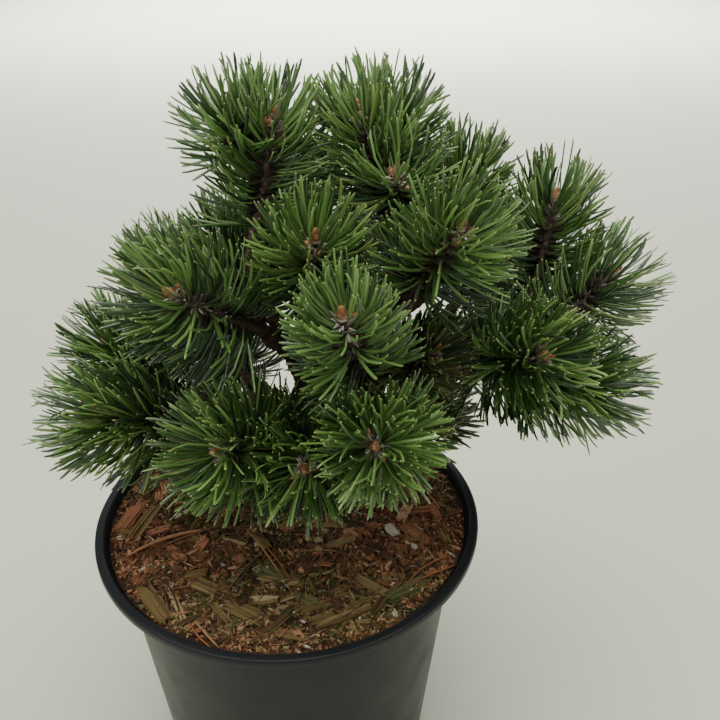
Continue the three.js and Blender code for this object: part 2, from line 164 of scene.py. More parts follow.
def make_copies(name, points, quads, triangles, finishes, tones, **more):
    """One piece from many copies of a small form. points is (copies, points of one, 3), the faces are
    those of the first copy, and tones has the finish of each copy, or of each face of each copy."""
    copies, each = points.shape[:2]
    shift = each * np.arange(copies)[:, None, None]
    tones = np.broadcast_to(tones.reshape(copies, -1), (copies, len(quads) + len(triangles)))
    deal = np.concatenate([tones[:, : len(quads)].ravel(), tones[:, len(quads) :].ravel()])
    return make_piece(name, points, quads + shift, triangles + shift, finishes, deal, **more)


def skin(rows, columns, first=0):
    """The faces of a tube whose points lie in rows, each row closed on itself: a face joins columns
    k and k + 1 of rows j and j + 1."""
    j, k = np.meshgrid(np.arange(rows - 1), np.arange(columns), indexing="ij")
    following = (k + 1) % columns
    low, high = j * columns, (j + 1) * columns
    return first + np.stack([low + k, low + following, high + following, high + k], -1).reshape(-1, 4)


def pointed_skin(rows, columns):
    """The faces of a small closed tube: its skin, then a fan from the last row to the point that
    follows it, and a fan that closes the first row."""
    k = np.arange(columns)
    last = (rows - 1) * columns
    point = np.stack([last + k, last + (k + 1) % columns, np.full(columns, last + columns)], -1)
    base = np.stack([0 * k[2:], k[2:], k[1:-1]], -1)
    return skin(rows, columns), np.concatenate([point, base])


def joined(tables):
    """Tables with the same columns, one under the other."""
    return {key: np.concatenate([table[key] for table in tables]) for key in tables[0]}


def keep(table, rows):
    """Only some rows of a table, by a mask or by their numbers."""
    return {key: value[rows] for key, value in table.items()}


def unit(vectors):
    """Vectors at length one."""
    return vectors / np.linalg.norm(vectors, axis=-1, keepdims=True)


def mix(low, high, share):
    """low at share 0, high at share 1."""
    return low + (high - low) * share


def square_to(ways):
    """For each direction, two unit vectors that are square to it and to each other."""
    helper = np.where(np.abs(ways[..., 2:]) < 0.9, [0, 0, 1.0], [1.0, 0, 0])
    side = unit(np.cross(helper, ways))
    return side, np.cross(ways, side)


def circles(side, other, angles):
    """cos(a) side + sin(a) other, for each pair of vectors and each angle a."""
    return np.cos(angles)[:, None] * side[:, None] + np.sin(angles)[:, None] * other[:, None]


print("a closed tube of two rows of four:", [len(faces) for faces in pointed_skin(2, 4)], "faces")

# %% [markdown]
# ## Camera, floor and light
# The camera stands 42 cm up and a third of a metre in front, and looks down at 30 degrees. The
# floor is one pale sheet, and a wide soft lamp overhead does what a room's bright ceiling does:
# it lights the outer needles and leaves the inside of the crown dark. A weak lamp on the left
# stands for a window, and a third lights only the floor far behind the pot.

# %% Camera
lens = bpy.data.cameras.new("camera")
lens.lens, lens.sensor_width = 40, 36
lens.clip_start, lens.clip_end = 0.01, 50
camera = bpy.data.objects.new("camera", lens)
camera.location = (0.0358, -0.315, 0.421)
camera.rotation_euler = (np.radians(90 - 29.7), 0, 0)
bpy.context.collection.objects.link(camera)
bpy.context.scene.camera = camera
print("camera in metres:", tuple(round(value, 3) for value in camera.location))

# %% Floor and light
FLOOR = dict(half=9000.0, drop=0.2)
floor_points = np.column_stack([SQUARE * FLOOR["half"], np.full(4, -FLOOR["drop"])])
floor = make_piece("floor", floor_points, [[0, 1, 2, 3]], [], [plain("pale floor", "dcdec7", 0.6)])


def soft_lamp(name, place, aim, size, power, colour, spread=180):
    """A square lamp at a place in metres that faces a point, with its light kept within a spread."""
    lamp = bpy.data.lights.new(name, "AREA")
    lamp.size, lamp.energy, lamp.color, lamp.spread = size, power, colour, np.radians(spread)
    holder = bpy.data.objects.new(name, lamp)
    holder.location = place
    holder.rotation_euler = (Vector(aim) - Vector(place)).to_track_quat("-Z", "Y").to_euler()
    bpy.context.collection.objects.link(holder)


soft_lamp("ceiling light", (0.1, 0.1, 1.9), (0, 0, 0.2), 1.6, 38, (1, 0.99, 0.96))
soft_lamp("window light", (-1.5, -0.9, 1.3), (0, 0, 0.2), 1.1, 8, (0.97, 0.98, 1))
soft_lamp("back light", (0.1, 4.0, 1.9), (0.1, 4.0, 0), 3.4, 300, (0.97, 0.985, 1), 120)
sky = bpy.data.worlds.new("room")
sky.use_nodes = True
sky.node_tree.nodes["Background"].inputs["Color"].default_value = (0.93, 0.94, 0.93, 1)
sky.node_tree.nodes["Background"].inputs["Strength"].default_value = 0.5
bpy.context.scene.world = sky
print("floor and lamps are set")

# %% [markdown]
# ## The pot
# A nursery pot is one thin moulded shell: a tapering wall that flares out under a flat lip. That is a
# profile turned round the axis, with every corner rounded. The drain holes can't be turned, so the
# ring of floor that holds them is eight patches, each stretched between a round hole and the edge of
# its share of the ring, and the doubled points where patches meet are then welded.

# %% Pot shape
POT_SIDES = 144
FLOOR_RINGS = (DRAINS["inner"], 30, 12, 2)
LIP_FOOT = POT["height"] - POT["lip_depth"]
FLARE_FOOT = POT["height"] - POT["flare_depth"]
FLARE_HEIGHTS = mix(FLARE_FOOT, LIP_FOOT, np.array([0, 0.25, 0.45, 0.65, 0.83, 1]))


def flare_share(height):
    """How far up the flare a height is: 0 at its foot and below, 1 at the lip and above."""
    return np.clip((height - FLARE_FOOT) / (LIP_FOOT - FLARE_FOOT), 0, 1)


def pot_outside(height):
    """Outside radius below the lip: a tapered wall, and near the top its flare."""
    wall = mix(POT["foot"], POT["wall_top"], height / POT["height"])
    return wall + POT["flare"] * flare_share(height) ** POT["flare_power"]


def pot_inside(height):
    """Inside radius below the lip. The wall is half as thick again at the top of the flare."""
    return pot_outside(height) - POT["wall"] * (1 + 0.5 * flare_share(height))


def turned(profile, sides):
    """The profile's points (radius, height), each carried round in a circle."""
    turn = 2 * np.pi * np.arange(sides) / sides
    radius, height = np.asarray(profile, float).T
    level = np.outer(height, np.ones(sides))
    return np.stack([np.outer(radius, np.cos(turn)), np.outer(radius, np.sin(turn)), level], -1)


def rounded(corners, longest=10.0):
    """The line through corners (radius, height, cut), where each corner makes way for a curve that
    starts and ends a cut's distance from it. On straight parts no step is longer than the longest."""
    place = np.array([corner[:2] for corner in corners], float)
    line = [place[0]]
    t = np.linspace(0, 1, 5)[:, None]
    for before, corner, after, (_, _, cut) in zip(place, place[1:], place[2:], corners[1:]):
        start, end = corner + cut * unit(before - corner), corner + cut * unit(after - corner)
        steps = int(np.linalg.norm(start - line[-1]) // longest) + 1
        line += list(mix(line[-1], start, np.arange(1, steps)[:, None] / steps))
        line += list((1 - t) ** 2 * start + 2 * t * (1 - t) * corner + t**2 * end)
    return np.array([*line, place[-1]])


def pot_profile():
    """From the ring of drains on the underside, up the outside, over the lip and down the inside."""
    top, rim, floor, ring = POT["height"], POT["rim"], POT["floor"], DRAINS["outer"]
    flare_out = [(pot_outside(z), z, 0.5) for z in FLARE_HEIGHTS]
    flare_in = [(pot_inside(z), z, 0.5) for z in FLARE_HEIGHTS[::-1]]
    lip = [(rim, LIP_FOOT, 0.7), (rim, top, 1.3), (rim - POT["lip_width"], top, 0.9)]
    feet = (pot_outside(0), 0, 2.4), (pot_inside(floor), floor, 3)
    return rounded([(ring, 0, 0), feet[0], *flare_out, *lip, *flare_in, feet[1], (ring, floor, 0)])


def drain_patch(sector, height):
    """The part of the floor round one drain: point (u, v) is mix(hole(u), border(u), v), and u runs
    once round the border of the sector, whose points are those of the turned rings."""
    span = POT_SIDES // DRAINS["count"]
    turn = 2 * np.pi * (np.arange(span + 1) - span / 2 + sector * span) / POT_SIDES
    across = np.linspace(DRAINS["outer"], DRAINS["inner"], 7)[1:-1]
    arcs = np.full(span + 1, DRAINS["outer"]), np.full(span + 1, DRAINS["inner"])
    reach = np.concatenate([arcs[0], across, arcs[1], across[::-1]])
    straight = np.ones(len(across))
    angle = np.concatenate([turn, turn[-1] * straight, turn[::-1], turn[0] * straight])
    border = np.stack([reach * np.cos(angle), reach * np.sin(angle)], -1)
    middle_turn = 2 * np.pi * sector / DRAINS["count"]
    middle = DRAINS["circle"] * np.array([np.cos(middle_turn), np.sin(middle_turn)])
    hole = middle + DRAINS["radius"] * unit(border - middle)
    flat = mix(hole, border, np.array([0, 0.08, 0.4, 1])[:, None, None])
    return np.concatenate([flat, np.full((*flat.shape[:2], 1), height)], -1)


def weld(points, faces, grain=1e-3):
    """Points closer than the grain become one, and faces follow them."""
    key = np.round(points / grain).astype(np.int64)
    _, first, number = np.unique(key, axis=0, return_index=True, return_inverse=True)
    return points[first], number.reshape(-1)[faces]


def pot_surface():
    """The turned wall, the inner disc of the floor on both sides, and the drains' patches and bores."""
    sectors = range(DRAINS["count"])
    grids = [turned(pot_profile(), POT_SIDES)]
    for height in (0.0, POT["floor"]):
        grids.append(turned([(reach, height) for reach in FLOOR_RINGS], POT_SIDES))
        grids += [drain_patch(sector, height) for sector in sectors]
    bore = np.linspace(0, POT["floor"], 3)
    grids += [np.stack([drain_patch(sector, height)[0] for height in bore]) for sector in sectors]
    points = np.concatenate([grid.reshape(-1, 3) for grid in grids])
    first = np.cumsum([0] + [grid.size // 3 for grid in grids])
    return weld(points, np.concatenate([skin(*grid.shape[:2], start) for grid, start in zip(grids, first)]))


pot_points, pot_quads = pot_surface()
print("pot surface:", len(pot_points), "points after welding")

# %% [markdown]
# Moulded black plastic is never quite black or quite smooth: it is satin, with faint cloudy wear and
# fine dust. Noise in the plastic's own coordinates moves its colour and roughness a little, and a
# very low bump breaks up the reflections. Bark and mulch get their patterns in the same way.

# %% Pot finish


def noise(tree, scale, detail, roughness=0.55):
    """A noise texture on the piece's own coordinates."""
    place = tree.nodes.new("ShaderNodeTexCoord")
    texture = tree.nodes.new("ShaderNodeTexNoise")
    texture.inputs["Scale"].default_value = scale
    texture.inputs["Detail"].default_value = detail
    texture.inputs["Roughness"].default_value = roughness
    tree.links.new(place.outputs["Object"], texture.inputs["Vector"])
    return texture.outputs["Fac"]


def ramp(tree, value, stops):
    """Colours set out along a value: each stop is (position, RRGGBB)."""
    band = tree.nodes.new("ShaderNodeValToRGB")
    while len(band.color_ramp.elements) < len(stops):
        band.color_ramp.elements.new(0.5)
    for element, (position, colour) in zip(band.color_ramp.elements, stops):
        element.position = position
        element.color = (*linear(colour), 1)
    tree.links.new(value, band.inputs["Fac"])
    return band.outputs["Color"]


def patterned(name, blotches, stops, roughness, grain, strength, depth):
    """A finish with colours along one noise and a bump from another, each given as (scale, detail,
    roughness). The bump has a strength and a depth in metres."""
    finish = bpy.data.materials.new(name)
    finish.use_nodes = True
    tree = finish.node_tree
    shader = tree.nodes["Principled BSDF"]
    tree.links.new(ramp(tree, noise(tree, *blotches), stops), shader.inputs["Base Color"])
    shader.inputs["Roughness"].default_value = roughness
    bump = tree.nodes.new("ShaderNodeBump")
    bump.inputs["Strength"].default_value = strength
    bump.inputs["Distance"].default_value = depth
    tree.links.new(noise(tree, *grain), bump.inputs["Height"])
    tree.links.new(bump.outputs["Normal"], shader.inputs["Normal"])
    return finish


stops = [(0.25, "1a1c1e"), (0.55, "202224"), (0.85, "27292b")]
black_plastic = patterned("black moulded plastic", (14, 5), stops, 0.38, (900, 2), 0.10, 0.0003)
tree = black_plastic.node_tree
shader = tree.nodes["Principled BSDF"]
shader.inputs["Specular IOR Level"].default_value = 0.2
wear = tree.nodes.new("ShaderNodeMapRange")
for socket, number in zip(("From Min", "From Max", "To Min", "To Max"), (0.3, 0.7, 0.32, 0.44)):
    wear.inputs[socket].default_value = number
tree.links.new(noise(tree, 60, 6), wear.inputs["Value"])
tree.links.new(wear.outputs["Result"], shader.inputs["Roughness"])
pot = make_piece("nursery_pot", pot_points, pot_quads, [], [black_plastic], slot="pot", stands_for=["pot"])

# %% [markdown]
# The wall was laid from the underside up and the patches each their own way, so the faces don't
# agree yet on which side is out. Once a small hole in the middle of the floor is filled on both
# sides, the shell is closed, and Blender can work that out.

# %% Turn the pot's faces outwards
import bmesh

shell = bmesh.new()
shell.from_mesh(pot.data)
open_edges = [edge for edge in shell.edges if edge.is_boundary]
bmesh.ops.holes_fill(shell, edges=open_edges, sides=POT_SIDES)
bmesh.ops.recalc_face_normals(shell, faces=shell.faces)
print("pot: edges round the two holes that were filled:", len(open_edges))
shell.to_mesh(pot.data)
shell.free()

# %% [markdown]
# ## Limbs
# A trunk or bough is a circle carried along a bent centre line. The line is a Bezier curve that
# leaves the fork and arrives at the shoot in given directions, walked at even steps of its own
# length. Boughs find their start on the limb that they grow on, so parents come first.

# %% Centre lines


def towards(bearing, rise):
    """The unit vector at a bearing round +Z and a rise above level, in degrees."""
    b, r = np.radians(bearing), np.radians(rise)
    return np.array([np.cos(r) * np.cos(b), np.cos(r) * np.sin(b), np.sin(r)])


def around(bearing, reach, height):
    """The point at a bearing, a reach from the pot's axis, and a height."""
    b = np.radians(bearing)
    return np.array([reach * np.cos(b), reach * np.sin(b), height], float)


class Limb:
    """A centre line with a radius. The handles of its Bezier curve lie 0.38 of the way out along the
    first direction and 0.34 of the way back along the last."""

    def __init__(self, name, start, leaving, end, arriving, radius):
        reach = np.linalg.norm(end - start)
        handles = np.array([start, start + leaving * reach * 0.38, end - arriving * reach * 0.34, end])
        t = np.linspace(0, 1, 401)[:, None]
        weights = [(1 - t) ** 3, 3 * t * (1 - t) ** 2, 3 * t**2 * (1 - t), t**3]
        self.points = sum(weight * handle for weight, handle in zip(weights, handles))
        walked = np.concatenate([[0], np.cumsum(np.linalg.norm(np.diff(self.points, axis=0), axis=1))])
        self.name, self.radius, self.length, self.shares = name, radius, walked[-1], walked / walked[-1]

    def at(self, shares):
        """Points at shares of the length."""
        return np.stack([np.interp(shares, self.shares, self.points[:, i]) for i in range(3)], -1)

    def along(self, shares):
        """Unit directions at shares of the length."""
        shares = np.asarray(shares, float)
        return unit(self.at(np.minimum(shares + 0.004, 1)) - self.at(np.maximum(shares - 0.004, 0)))


def trunk_radius(share, angle=0.0):
    """An even taper, and near the ground a flare with five buttresses."""
    flare = np.maximum(0, 1 - share / 0.24) ** 2 * TRUNK["flare"]
    return mix(TRUNK["foot_radius"], TRUNK["head_radius"], share) + flare * (1 + 0.35 * np.cos(5 * angle))


def grow_bough(row, limbs):
    """The bough under one mass, from its fork to the foot of the shoot."""
    name, parent_name, where, bud, aim, shoot = row[:6]
    parent = limbs[parent_name]
    way = towards(*aim)
    tip = around(*bud) - way * shoot
    start, thick, leaving = parent.at(where), parent.radius(where), parent.along(where)
    if where < 1:
        thick = np.clip(LIMB["share"] * thick, LIMB["tip"], LIMB["most"])
        leaving = unit(1.2 * unit(tip - start) + np.array([0, 0, 0.25]))

    def radius(share, angle=0.0):
        return mix(thick, LIMB["tip"], share**0.8) + 0 * angle

    return Limb(name, start, leaving, tip, way, radius)


foot = np.array([*TRUNK["foot"], FILL["level"]])
head = np.array(TRUNK["head"])
limbs = {"trunk": Limb("trunk", foot, np.array([0, 0, 1.0]), head, towards(40, 72), trunk_radius)}
waiting = list(CROWN)
while waiting:
    row = waiting.pop(0)
    if row[1] in limbs:
        limbs[row[0]] = grow_bough(row, limbs)
    else:
        waiting.append(row)
print("limbs:", len(limbs), "trunk length:", round(limbs["trunk"].length, 1))

# %% [markdown]
# Pine bark on wood this young is rough rather than furrowed: the bases of shed scales and needles
# stand on it like cobbles in two crossing spirals, and the oldest part starts to flake. So the
# circle's radius is moved in and out along and round the limb before the skin is laid over it.

# %% Bark relief


def carried_rings(limb, shares, angles, radius):
    """radius(j, k) round the centre line at share j and angle k: centre + radius (cos k side +
    sin k other), where side and other are square to the line and don't twist."""
    centre, way = limb.at(shares), limb.along(shares)
    swing = np.cross(limb.along(0.0), limb.along(1.0))
    still = np.array([1.0, 0, 0]) if limb.name == "trunk" or np.linalg.norm(swing) < 0.15 else unit(swing)
    if abs(np.dot(still, way.mean(0))) > 0.8:
        still = np.array([0, 1.0, 0])
    side = unit(still - (way @ still)[:, None] * way)
    return centre[:, None] + radius[..., None] * circles(side, np.cross(side, way), angles)


def cobbles(distance, angle, radius, pitch):
    """Bumps where two families of spirals cross: the product of two waves, cut off below zero."""
    turns = np.maximum(5, np.round(2 * np.pi * radius.mean() / pitch))
    rise = 2 * np.pi * distance / pitch
    wave = np.cos(rise * 0.5 + turns * angle) * np.cos(rise * 0.5 - (turns + 1) * angle)
    return np.maximum(wave, -0.25)


def ripples(x, y, z, seed, count=7):
    """Uneven swelling: waves of many lengths in many directions, added up, mostly within -1 and 1."""
    rng = np.random.default_rng(seed)
    total = 0
    for _ in range(count):
        way = rng.normal(size=3)
        total = total + np.sin(way[0] * x + way[1] * y + way[2] * z + rng.uniform(0, 6.3))
    return total / count**0.5 * 0.7


def grid_of(rows, columns):
    """Shares along a line, angles round it, and both again at every point of the grid."""
    shares, angles = np.linspace(0, 1, rows), 2 * np.pi * np.arange(columns) / columns
    return shares, angles, *np.meshgrid(shares, angles, indexing="ij")


def limb_surface(limb, rows, columns):
    """A limb's radius with a collar at its fork, cobbles, slow swelling, and flakes on old bark."""
    shares, angles, s, a = grid_of(rows, columns)
    radius = limb.radius(s, a)
    distance = s * limb.length
    old, collar = (1.0, 0) if limb.name == "trunk" else (0.45, 1.3 * np.exp(-((distance / 7) ** 2)))
    relief = 0.42 * cobbles(distance, a, radius, 3.4)
    swell = 0.5 * ripples(distance * 0.5, 2.4 * np.cos(a), 2.4 * np.sin(a), len(limb.name) * 7 + rows)
    flakes = old * 0.55 * np.abs(ripples(distance * 0.35, 5 * np.cos(a), 5 * np.sin(a), 5, 9)) ** 0.5
    return carried_rings(limb, shares, angles, radius - 0.25 + collar + relief + swell + flakes)


def capped(grid, first=0):
    """A closed skin over a grid of rings: its points, its faces, and its two caps of triangles."""
    rows, columns = grid.shape[:2]
    points = np.concatenate([grid.reshape(-1, 3), grid[0].mean(0)[None], grid[-1].mean(0)[None]])
    k = np.arange(columns)
    following, last = (k + 1) % columns, (rows - 1) * columns
    base, tip = np.full(columns, rows * columns), np.full(columns, rows * columns + 1)
    ends = [np.stack([following, k, base], -1), np.stack([last + k, last + following, tip], -1)]
    return points, skin(rows, columns, first), np.concatenate(ends) + first


def join_skins(grids):
    """Many closed skins as one set of points, faces and caps."""
    parts, count = [], 0
    for grid in grids:
        parts.append(capped(grid, count))
        count += len(parts[-1][0])
    return [np.concatenate(arrays) for arrays in zip(*parts)]


boughs = [limb for name, limb in limbs.items() if name != "trunk"]
bark_skins = [limb_surface(limbs["trunk"], 110, 84)]
bark_skins += [limb_surface(limb, int(limb.length * 0.9) + 12, 26) for limb in boughs]
print("bark skins:", len(bark_skins))

# %% Bark finish
stops = [(0.28, "241a16"), (0.45, "3b2b23"), (0.58, "54402f"), (0.72, "75634f")]
bark = patterned("rough pine bark", (160, 8, 0.65), stops, 0.9, (700, 6, 0.7), 0.6, 0.0006)
stands_for = ["trunk"] + ["bough_" + row[0] for row in CROWN]
make_piece("bark_of_limbs", *join_skins(bark_skins), [bark], slot="bark", stands_for=stands_for)

# %% [markdown]
# ## Shoots
# Each mass grows from one leafy shoot, and a few have side shoots. This is where the fine crown
# starts: the shoot's own skin with its cobbles, then needles, sheaths, scales and buds round it.

# %% Shoots of every mass
FINE = dict(
    sheaths=212, on=46.0,  # that many on each so much of a shoot
    open_base=93, open_tip=42,  # degrees off the shoot, at its foot and at its bud
    stem=2.5, bald=4.0,  # the shoot's radius, and the stretch under the bud with no needles
    clear=9.0,  # a side shoot is bare until it is this far from its main shoot
)


def grow_shoots(number, row):
    """The main shoot of a mass, then its side shoots, each with the length that stays bare."""
    bud, aim, length, leaf, sides = row[3:]
    way = towards(*aim)
    start = around(*bud) - way * length
    main = dict(
        mass=number, foot=start, way=way, length=float(length), leaf=leaf, bare=0.10 * length, main=True,
    )
    shoots = [main]
    for side_bud, leaves_at in sides:
        side_foot = start + way * leaves_at * length
        span = around(*side_bud) - side_foot
        side_way, side_length = unit(span), np.linalg.norm(span)
        parting = np.arccos(np.clip(np.dot(side_way, way), -1, 1))
        bare = min(FINE["clear"] / np.sin(parting), 0.5 * side_length)
        shoots.append(main | dict(foot=side_foot, way=side_way, length=side_length, bare=bare, main=False))
    return shoots


shoots = [shoot for number, row in enumerate(CROWN) for shoot in grow_shoots(number, row)]
print("shoots:", len(shoots))

# %% [markdown]
# ## Where the needles stand
# Pine needles grow in pairs from one sheath, and the sheaths follow a spiral of 137.5 degrees from
# one to the next. Low on the shoot they are old and stand square off it, and near the bud they
# are young and point forward. Some tufts have shed most needles on one side, so that their scaly
# twig shows. A needle that would run through a limb, another shoot or deep into a neighbour's space
# is shortened or left out, so that each tuft keeps its own round shape.

# %% Spirals of sheaths
GOLDEN = 137.508
OPEN_SIDES = dict(  # the bearing of each open side
    top=-85, top_left=-85, upper_right=-95, far_right=-100, centre=-70, left=-60, centre_right=-80,
)
OPEN_WIDTH = 0.72  # cosine of half the angle that an open side takes


def splayed(way, opening, roll):
    """A direction turned away by an opening, towards the side that a roll gives."""
    side, other = square_to(way)
    across = np.cos(roll)[:, None] * side + np.sin(roll)[:, None] * other
    return np.cos(opening)[:, None] * way + np.sin(opening)[:, None] * across


def open_side(way, bearing):
    """The direction square to a shoot that faces a bearing."""
    level = towards(bearing, 10)
    return unit(level - np.dot(level, way) * way)


def sheaths_of(shoot, seed):
    """Foot, direction, rise and needle length of each sheath of one shoot."""
    rng = np.random.default_rng(seed)
    count = int(round(FINE["sheaths"] * (shoot["length"] - shoot["bare"]) / FINE["on"]))
    rise = (np.arange(count) + 0.5) / count
    height = mix(shoot["bare"], shoot["length"] - FINE["bald"], rise**0.7)
    opening = np.radians(mix(FINE["open_base"], FINE["open_tip"], rise**1.6) + rng.normal(0, 7.5, count))
    roll = np.radians(GOLDEN * np.arange(count) + rng.normal(0, 8, count) + 40 * seed)
    way = splayed(shoot["way"], opening, roll)
    foot = shoot["foot"] + shoot["way"] * height[:, None] + way * FINE["stem"] * 0.5
    leaf = shoot["leaf"] * rng.uniform(0.91, 1.02, count)
    sheaths = dict(foot=foot, way=way, rise=rise, leaf=leaf, aim=np.tile(shoot["way"], (count, 1)))
    bearing = OPEN_SIDES.get(CROWN[shoot["mass"]][0])
    if bearing is None or not shoot["main"]:
        return sheaths
    across = unit(way - np.outer(way @ shoot["way"], shoot["way"]))
    faces = across @ open_side(shoot["way"], bearing) > OPEN_WIDTH
    shed = faces & (rng.uniform(size=count) < mix(0.9, 0.75, rise))
    return keep(sheaths, ~shed)


def away(points, starts, ends):
    """Distance from each point to each straight stretch: (points, stretches)."""
    span = ends - starts
    share = np.einsum("psi,si->ps", points[:, None] - starts, span) / np.einsum("si,si->s", span, span)
    nearest = starts + np.clip(share, 0, 1)[..., None] * span
    return np.linalg.norm(points[:, None] - nearest, axis=-1)


shoot_feet, shoot_ways, shoot_lengths, shoot_mass = (
    np.array([shoot[key] for shoot in shoots]) for key in ("foot", "way", "length", "mass")
)
shoot_ends = shoot_feet + shoot_ways * (shoot_lengths + 5)[:, None]
limb_rows = [
    (limb.at(np.linspace(0, 1, 11)), limb.radius(np.linspace(0, 0.9, 10))) for limb in limbs.values()
]
limb_starts = np.concatenate([points[:-1] for points, _ in limb_rows])
limb_ends = np.concatenate([points[1:] for points, _ in limb_rows])
limb_thick = np.concatenate([radii for _, radii in limb_rows])
print("stretches of limb that needles keep clear of:", len(limb_starts))

# %% Needles and their room
ROOM = dict(
    limb=1.2, shoot=4.2,  # how near it may come to a limb's skin, and to the middle of another shoot
    overlap=9.0,  # how far it may reach into a neighbour's space
    over=1.5, lowest=60.0,  # its height over the bed and the rim, and the lowest height outside the pot
    whole=0.85, least=0.45,  # the clear share that keeps it whole, and the one that keeps it at all
)


def needle_rows(sheaths, seed):
    """Two needles for each sheath: they part a little to both sides of its direction and curve
    towards the light and the bud."""
    rng = np.random.default_rng(seed + 500)
    count = len(sheaths["leaf"])
    parting_way = unit(np.cross(sheaths["way"], rng.normal(size=(count, 3))))
    parting = np.radians(rng.uniform(2.5, 7.5, count))[:, None]
    rows = []
    for sign in (1, -1):
        outward = sign * parting_way
        way = unit(np.cos(parting) * sheaths["way"] + np.sin(parting) * outward)
        lean = 0.75 * sheaths["aim"] + np.array([0, 0, 0.35]) + rng.normal(0, 0.28, (count, 3))
        lift = unit(lean - np.sum(lean * way, -1, keepdims=True) * way)
        side = np.cross(way, lift)
        rows.append(dict(
            foot=sheaths["foot"] + outward * 0.35, way=way, lift=lift,
            roll=np.arctan2(-np.sum(outward * side, -1), np.sum(outward * lift, -1)),
            curl=rng.normal(0.73, 0.27, count), leaf=sheaths["leaf"] * rng.uniform(0.95, 1.03, count),
            width=rng.uniform(1.1, 1.38, count), sheath=np.arange(count),
        ))
    return joined(rows)


def centre_lines(rows, shares):
    """An arc: foot + leaf (sin(ct)/c way + (1 - cos(ct))/c lift) at share t, for a curl c."""
    curl = np.where(np.abs(rows["curl"]) < 1e-3, 1e-3, rows["curl"])[:, None]
    along, up = np.sin(curl * shares) / curl, (1 - np.cos(curl * shares)) / curl
    arc = along[..., None] * rows["way"][:, None] + up[..., None] * rows["lift"][:, None]
    return rows["foot"][:, None] + rows["leaf"][:, None, None] * arc


def room(rows, mass):
    """The share of each needle's length that is clear, walking out from its foot."""
    shares = np.linspace(0.12, 1, 10)
    points = centre_lines(rows, shares)
    flat = points.reshape(-1, 3)
    limb_clear = (away(flat, limb_starts, limb_ends) - limb_thick - ROOM["limb"]).min(1)
    to_shoots = away(flat, shoot_feet, shoot_ends)
    own = shoot_mass == mass
    home, other = to_shoots[:, own].min(1), to_shoots[:, ~own].min(1)
    reach = np.hypot(flat[:, 0], flat[:, 1])
    outside = np.where(reach < POT["rim"] + 2, POT["height"] + ROOM["over"], ROOM["lowest"])
    ground = np.where(reach < pot_inside(POT["height"]) - 2, FILL["level"] + ROOM["over"], outside)
    apart = (other > ROOM["shoot"]) & (other + ROOM["overlap"] > home)
    clear = (limb_clear > 0) & apart & (flat[:, 2] > ground)
    clear = clear.reshape(points.shape[:2])
    # a needle may pass its own bough close to its foot
    clear[:, 0] |= limb_clear.reshape(clear.shape)[:, 0] > -2
    return np.cumprod(clear, axis=1).sum(1) / len(shares)


tufts = []
for number, shoot in enumerate(shoots):
    sheaths = sheaths_of(shoot, number)
    rows = needle_rows(sheaths, number)
    clear = room(rows, shoot["mass"])
    rows["leaf"] = rows["leaf"] * np.where(clear > ROOM["whole"], 1, clear)
    tufts.append(dict(shoot=shoot, sheaths=sheaths, needles=keep(rows, clear > ROOM["least"])))
grown = sum(2 * len(tuft["sheaths"]["leaf"]) for tuft in tufts)
print("needles:", sum(len(tuft["needles"]["leaf"]) for tuft in tufts), "of", grown)

# %% [markdown]
# ## The shape of a needle
# A needle of a pair is half of a round rod: one side flat, where it met its twin, and one side
# rounded. It is almost the same width from the sheath to a short blunt point. Five rings of five
# points and a tip are enough to show that, and keep a needle under fifty triangles.

# %% Needle surfaces
RUN = np.array([0.0, 0.25, 0.6, 0.9, 0.976])
FAT = np.array([0.78, 1.0, 1.0, 0.95, 0.66])
HALF_ROUND = np.array([[-0.5, 0.0], [-0.3, 0.40], [0.3, 0.40], [0.5, 0.0], [0.0, -0.12]])


def needle_points(rows):
    """Rings of the half-round section along each needle's arc, then its tip."""
    shares = np.append(RUN, 1.0)
    centre = centre_lines(rows, shares)
    turn = rows["curl"][:, None] * RUN
    way, lift = rows["way"][:, None], rows["lift"][:, None]
    up = -np.sin(turn)[..., None] * way + np.cos(turn)[..., None] * lift
    side = np.cross(way, lift)
    roll = rows["roll"][:, None, None]
    broad = (np.cos(roll) * side + np.sin(roll) * up)[:, :, None]
    round_side = (-np.sin(roll) * side + np.cos(roll) * up)[:, :, None]
    size = (rows["width"][:, None] * FAT)[..., None, None]
    rings = centre[:, :-1, None] + size * (HALF_ROUND[:, :1] * broad + HALF_ROUND[:, 1:] * round_side)
    return np.concatenate([rings.reshape(len(centre), -1, 3), centre[:, -1:]], 1)


needle_quads, needle_triangles = pointed_skin(len(RUN), len(HALF_ROUND))
is_tip = np.zeros(len(needle_quads) + len(needle_triangles), bool)
is_tip[len(needle_quads) : len(needle_quads) + len(HALF_ROUND)] = True
print("triangles of one needle:", 2 * len(needle_quads) + len(needle_triangles))

# %% [markdown]
# Young mugo needles are deep green, fresher and yellower where they are new, and each ends in a
# pale horny point, whose paleness is partly its own and partly a painted highlight where it catches
# the light. The greens are plain colours dealt out by the pair. A tuft in the light gets more of
# the fresh ones, partly as painted light, and an inner one in shade more of the deep and olive ones,
# as painted shade. Near the bud the greens are lighter, partly for new growth and partly as painted
# light. A few old pairs low on the shoots have dried to brown.

# %% Needle finishes
GREENS = [
    "1e3618", "29451f", "365623", "44672c", "587b39", "7ba354",  # deep to fresh
    "7d954f", "35532f", "93a95c", "63683a",  # yellowish, greyish, palest, olive
]
YELLOWISH, GREYISH, PALEST, OLIVE = 6, 7, 8, 9
wax = dict(Specular_IOR_Level=1.0, Coat_Weight=0.7, Coat_Roughness=0.22)
needle_finishes = shades("needle green", GREENS, 0.3, **wax) + [
    # the pale tips, green and dry, are partly the point's own colour and partly a painted highlight
    plain("needle tip", "929f58", 0.5),
    plain("dry needle", "684a2f", 0.6),
    plain("dry needle tip", "8a6c4a", 0.7),
]
TIP, DRY, DRY_TIP = range(len(GREENS), len(needle_finishes))
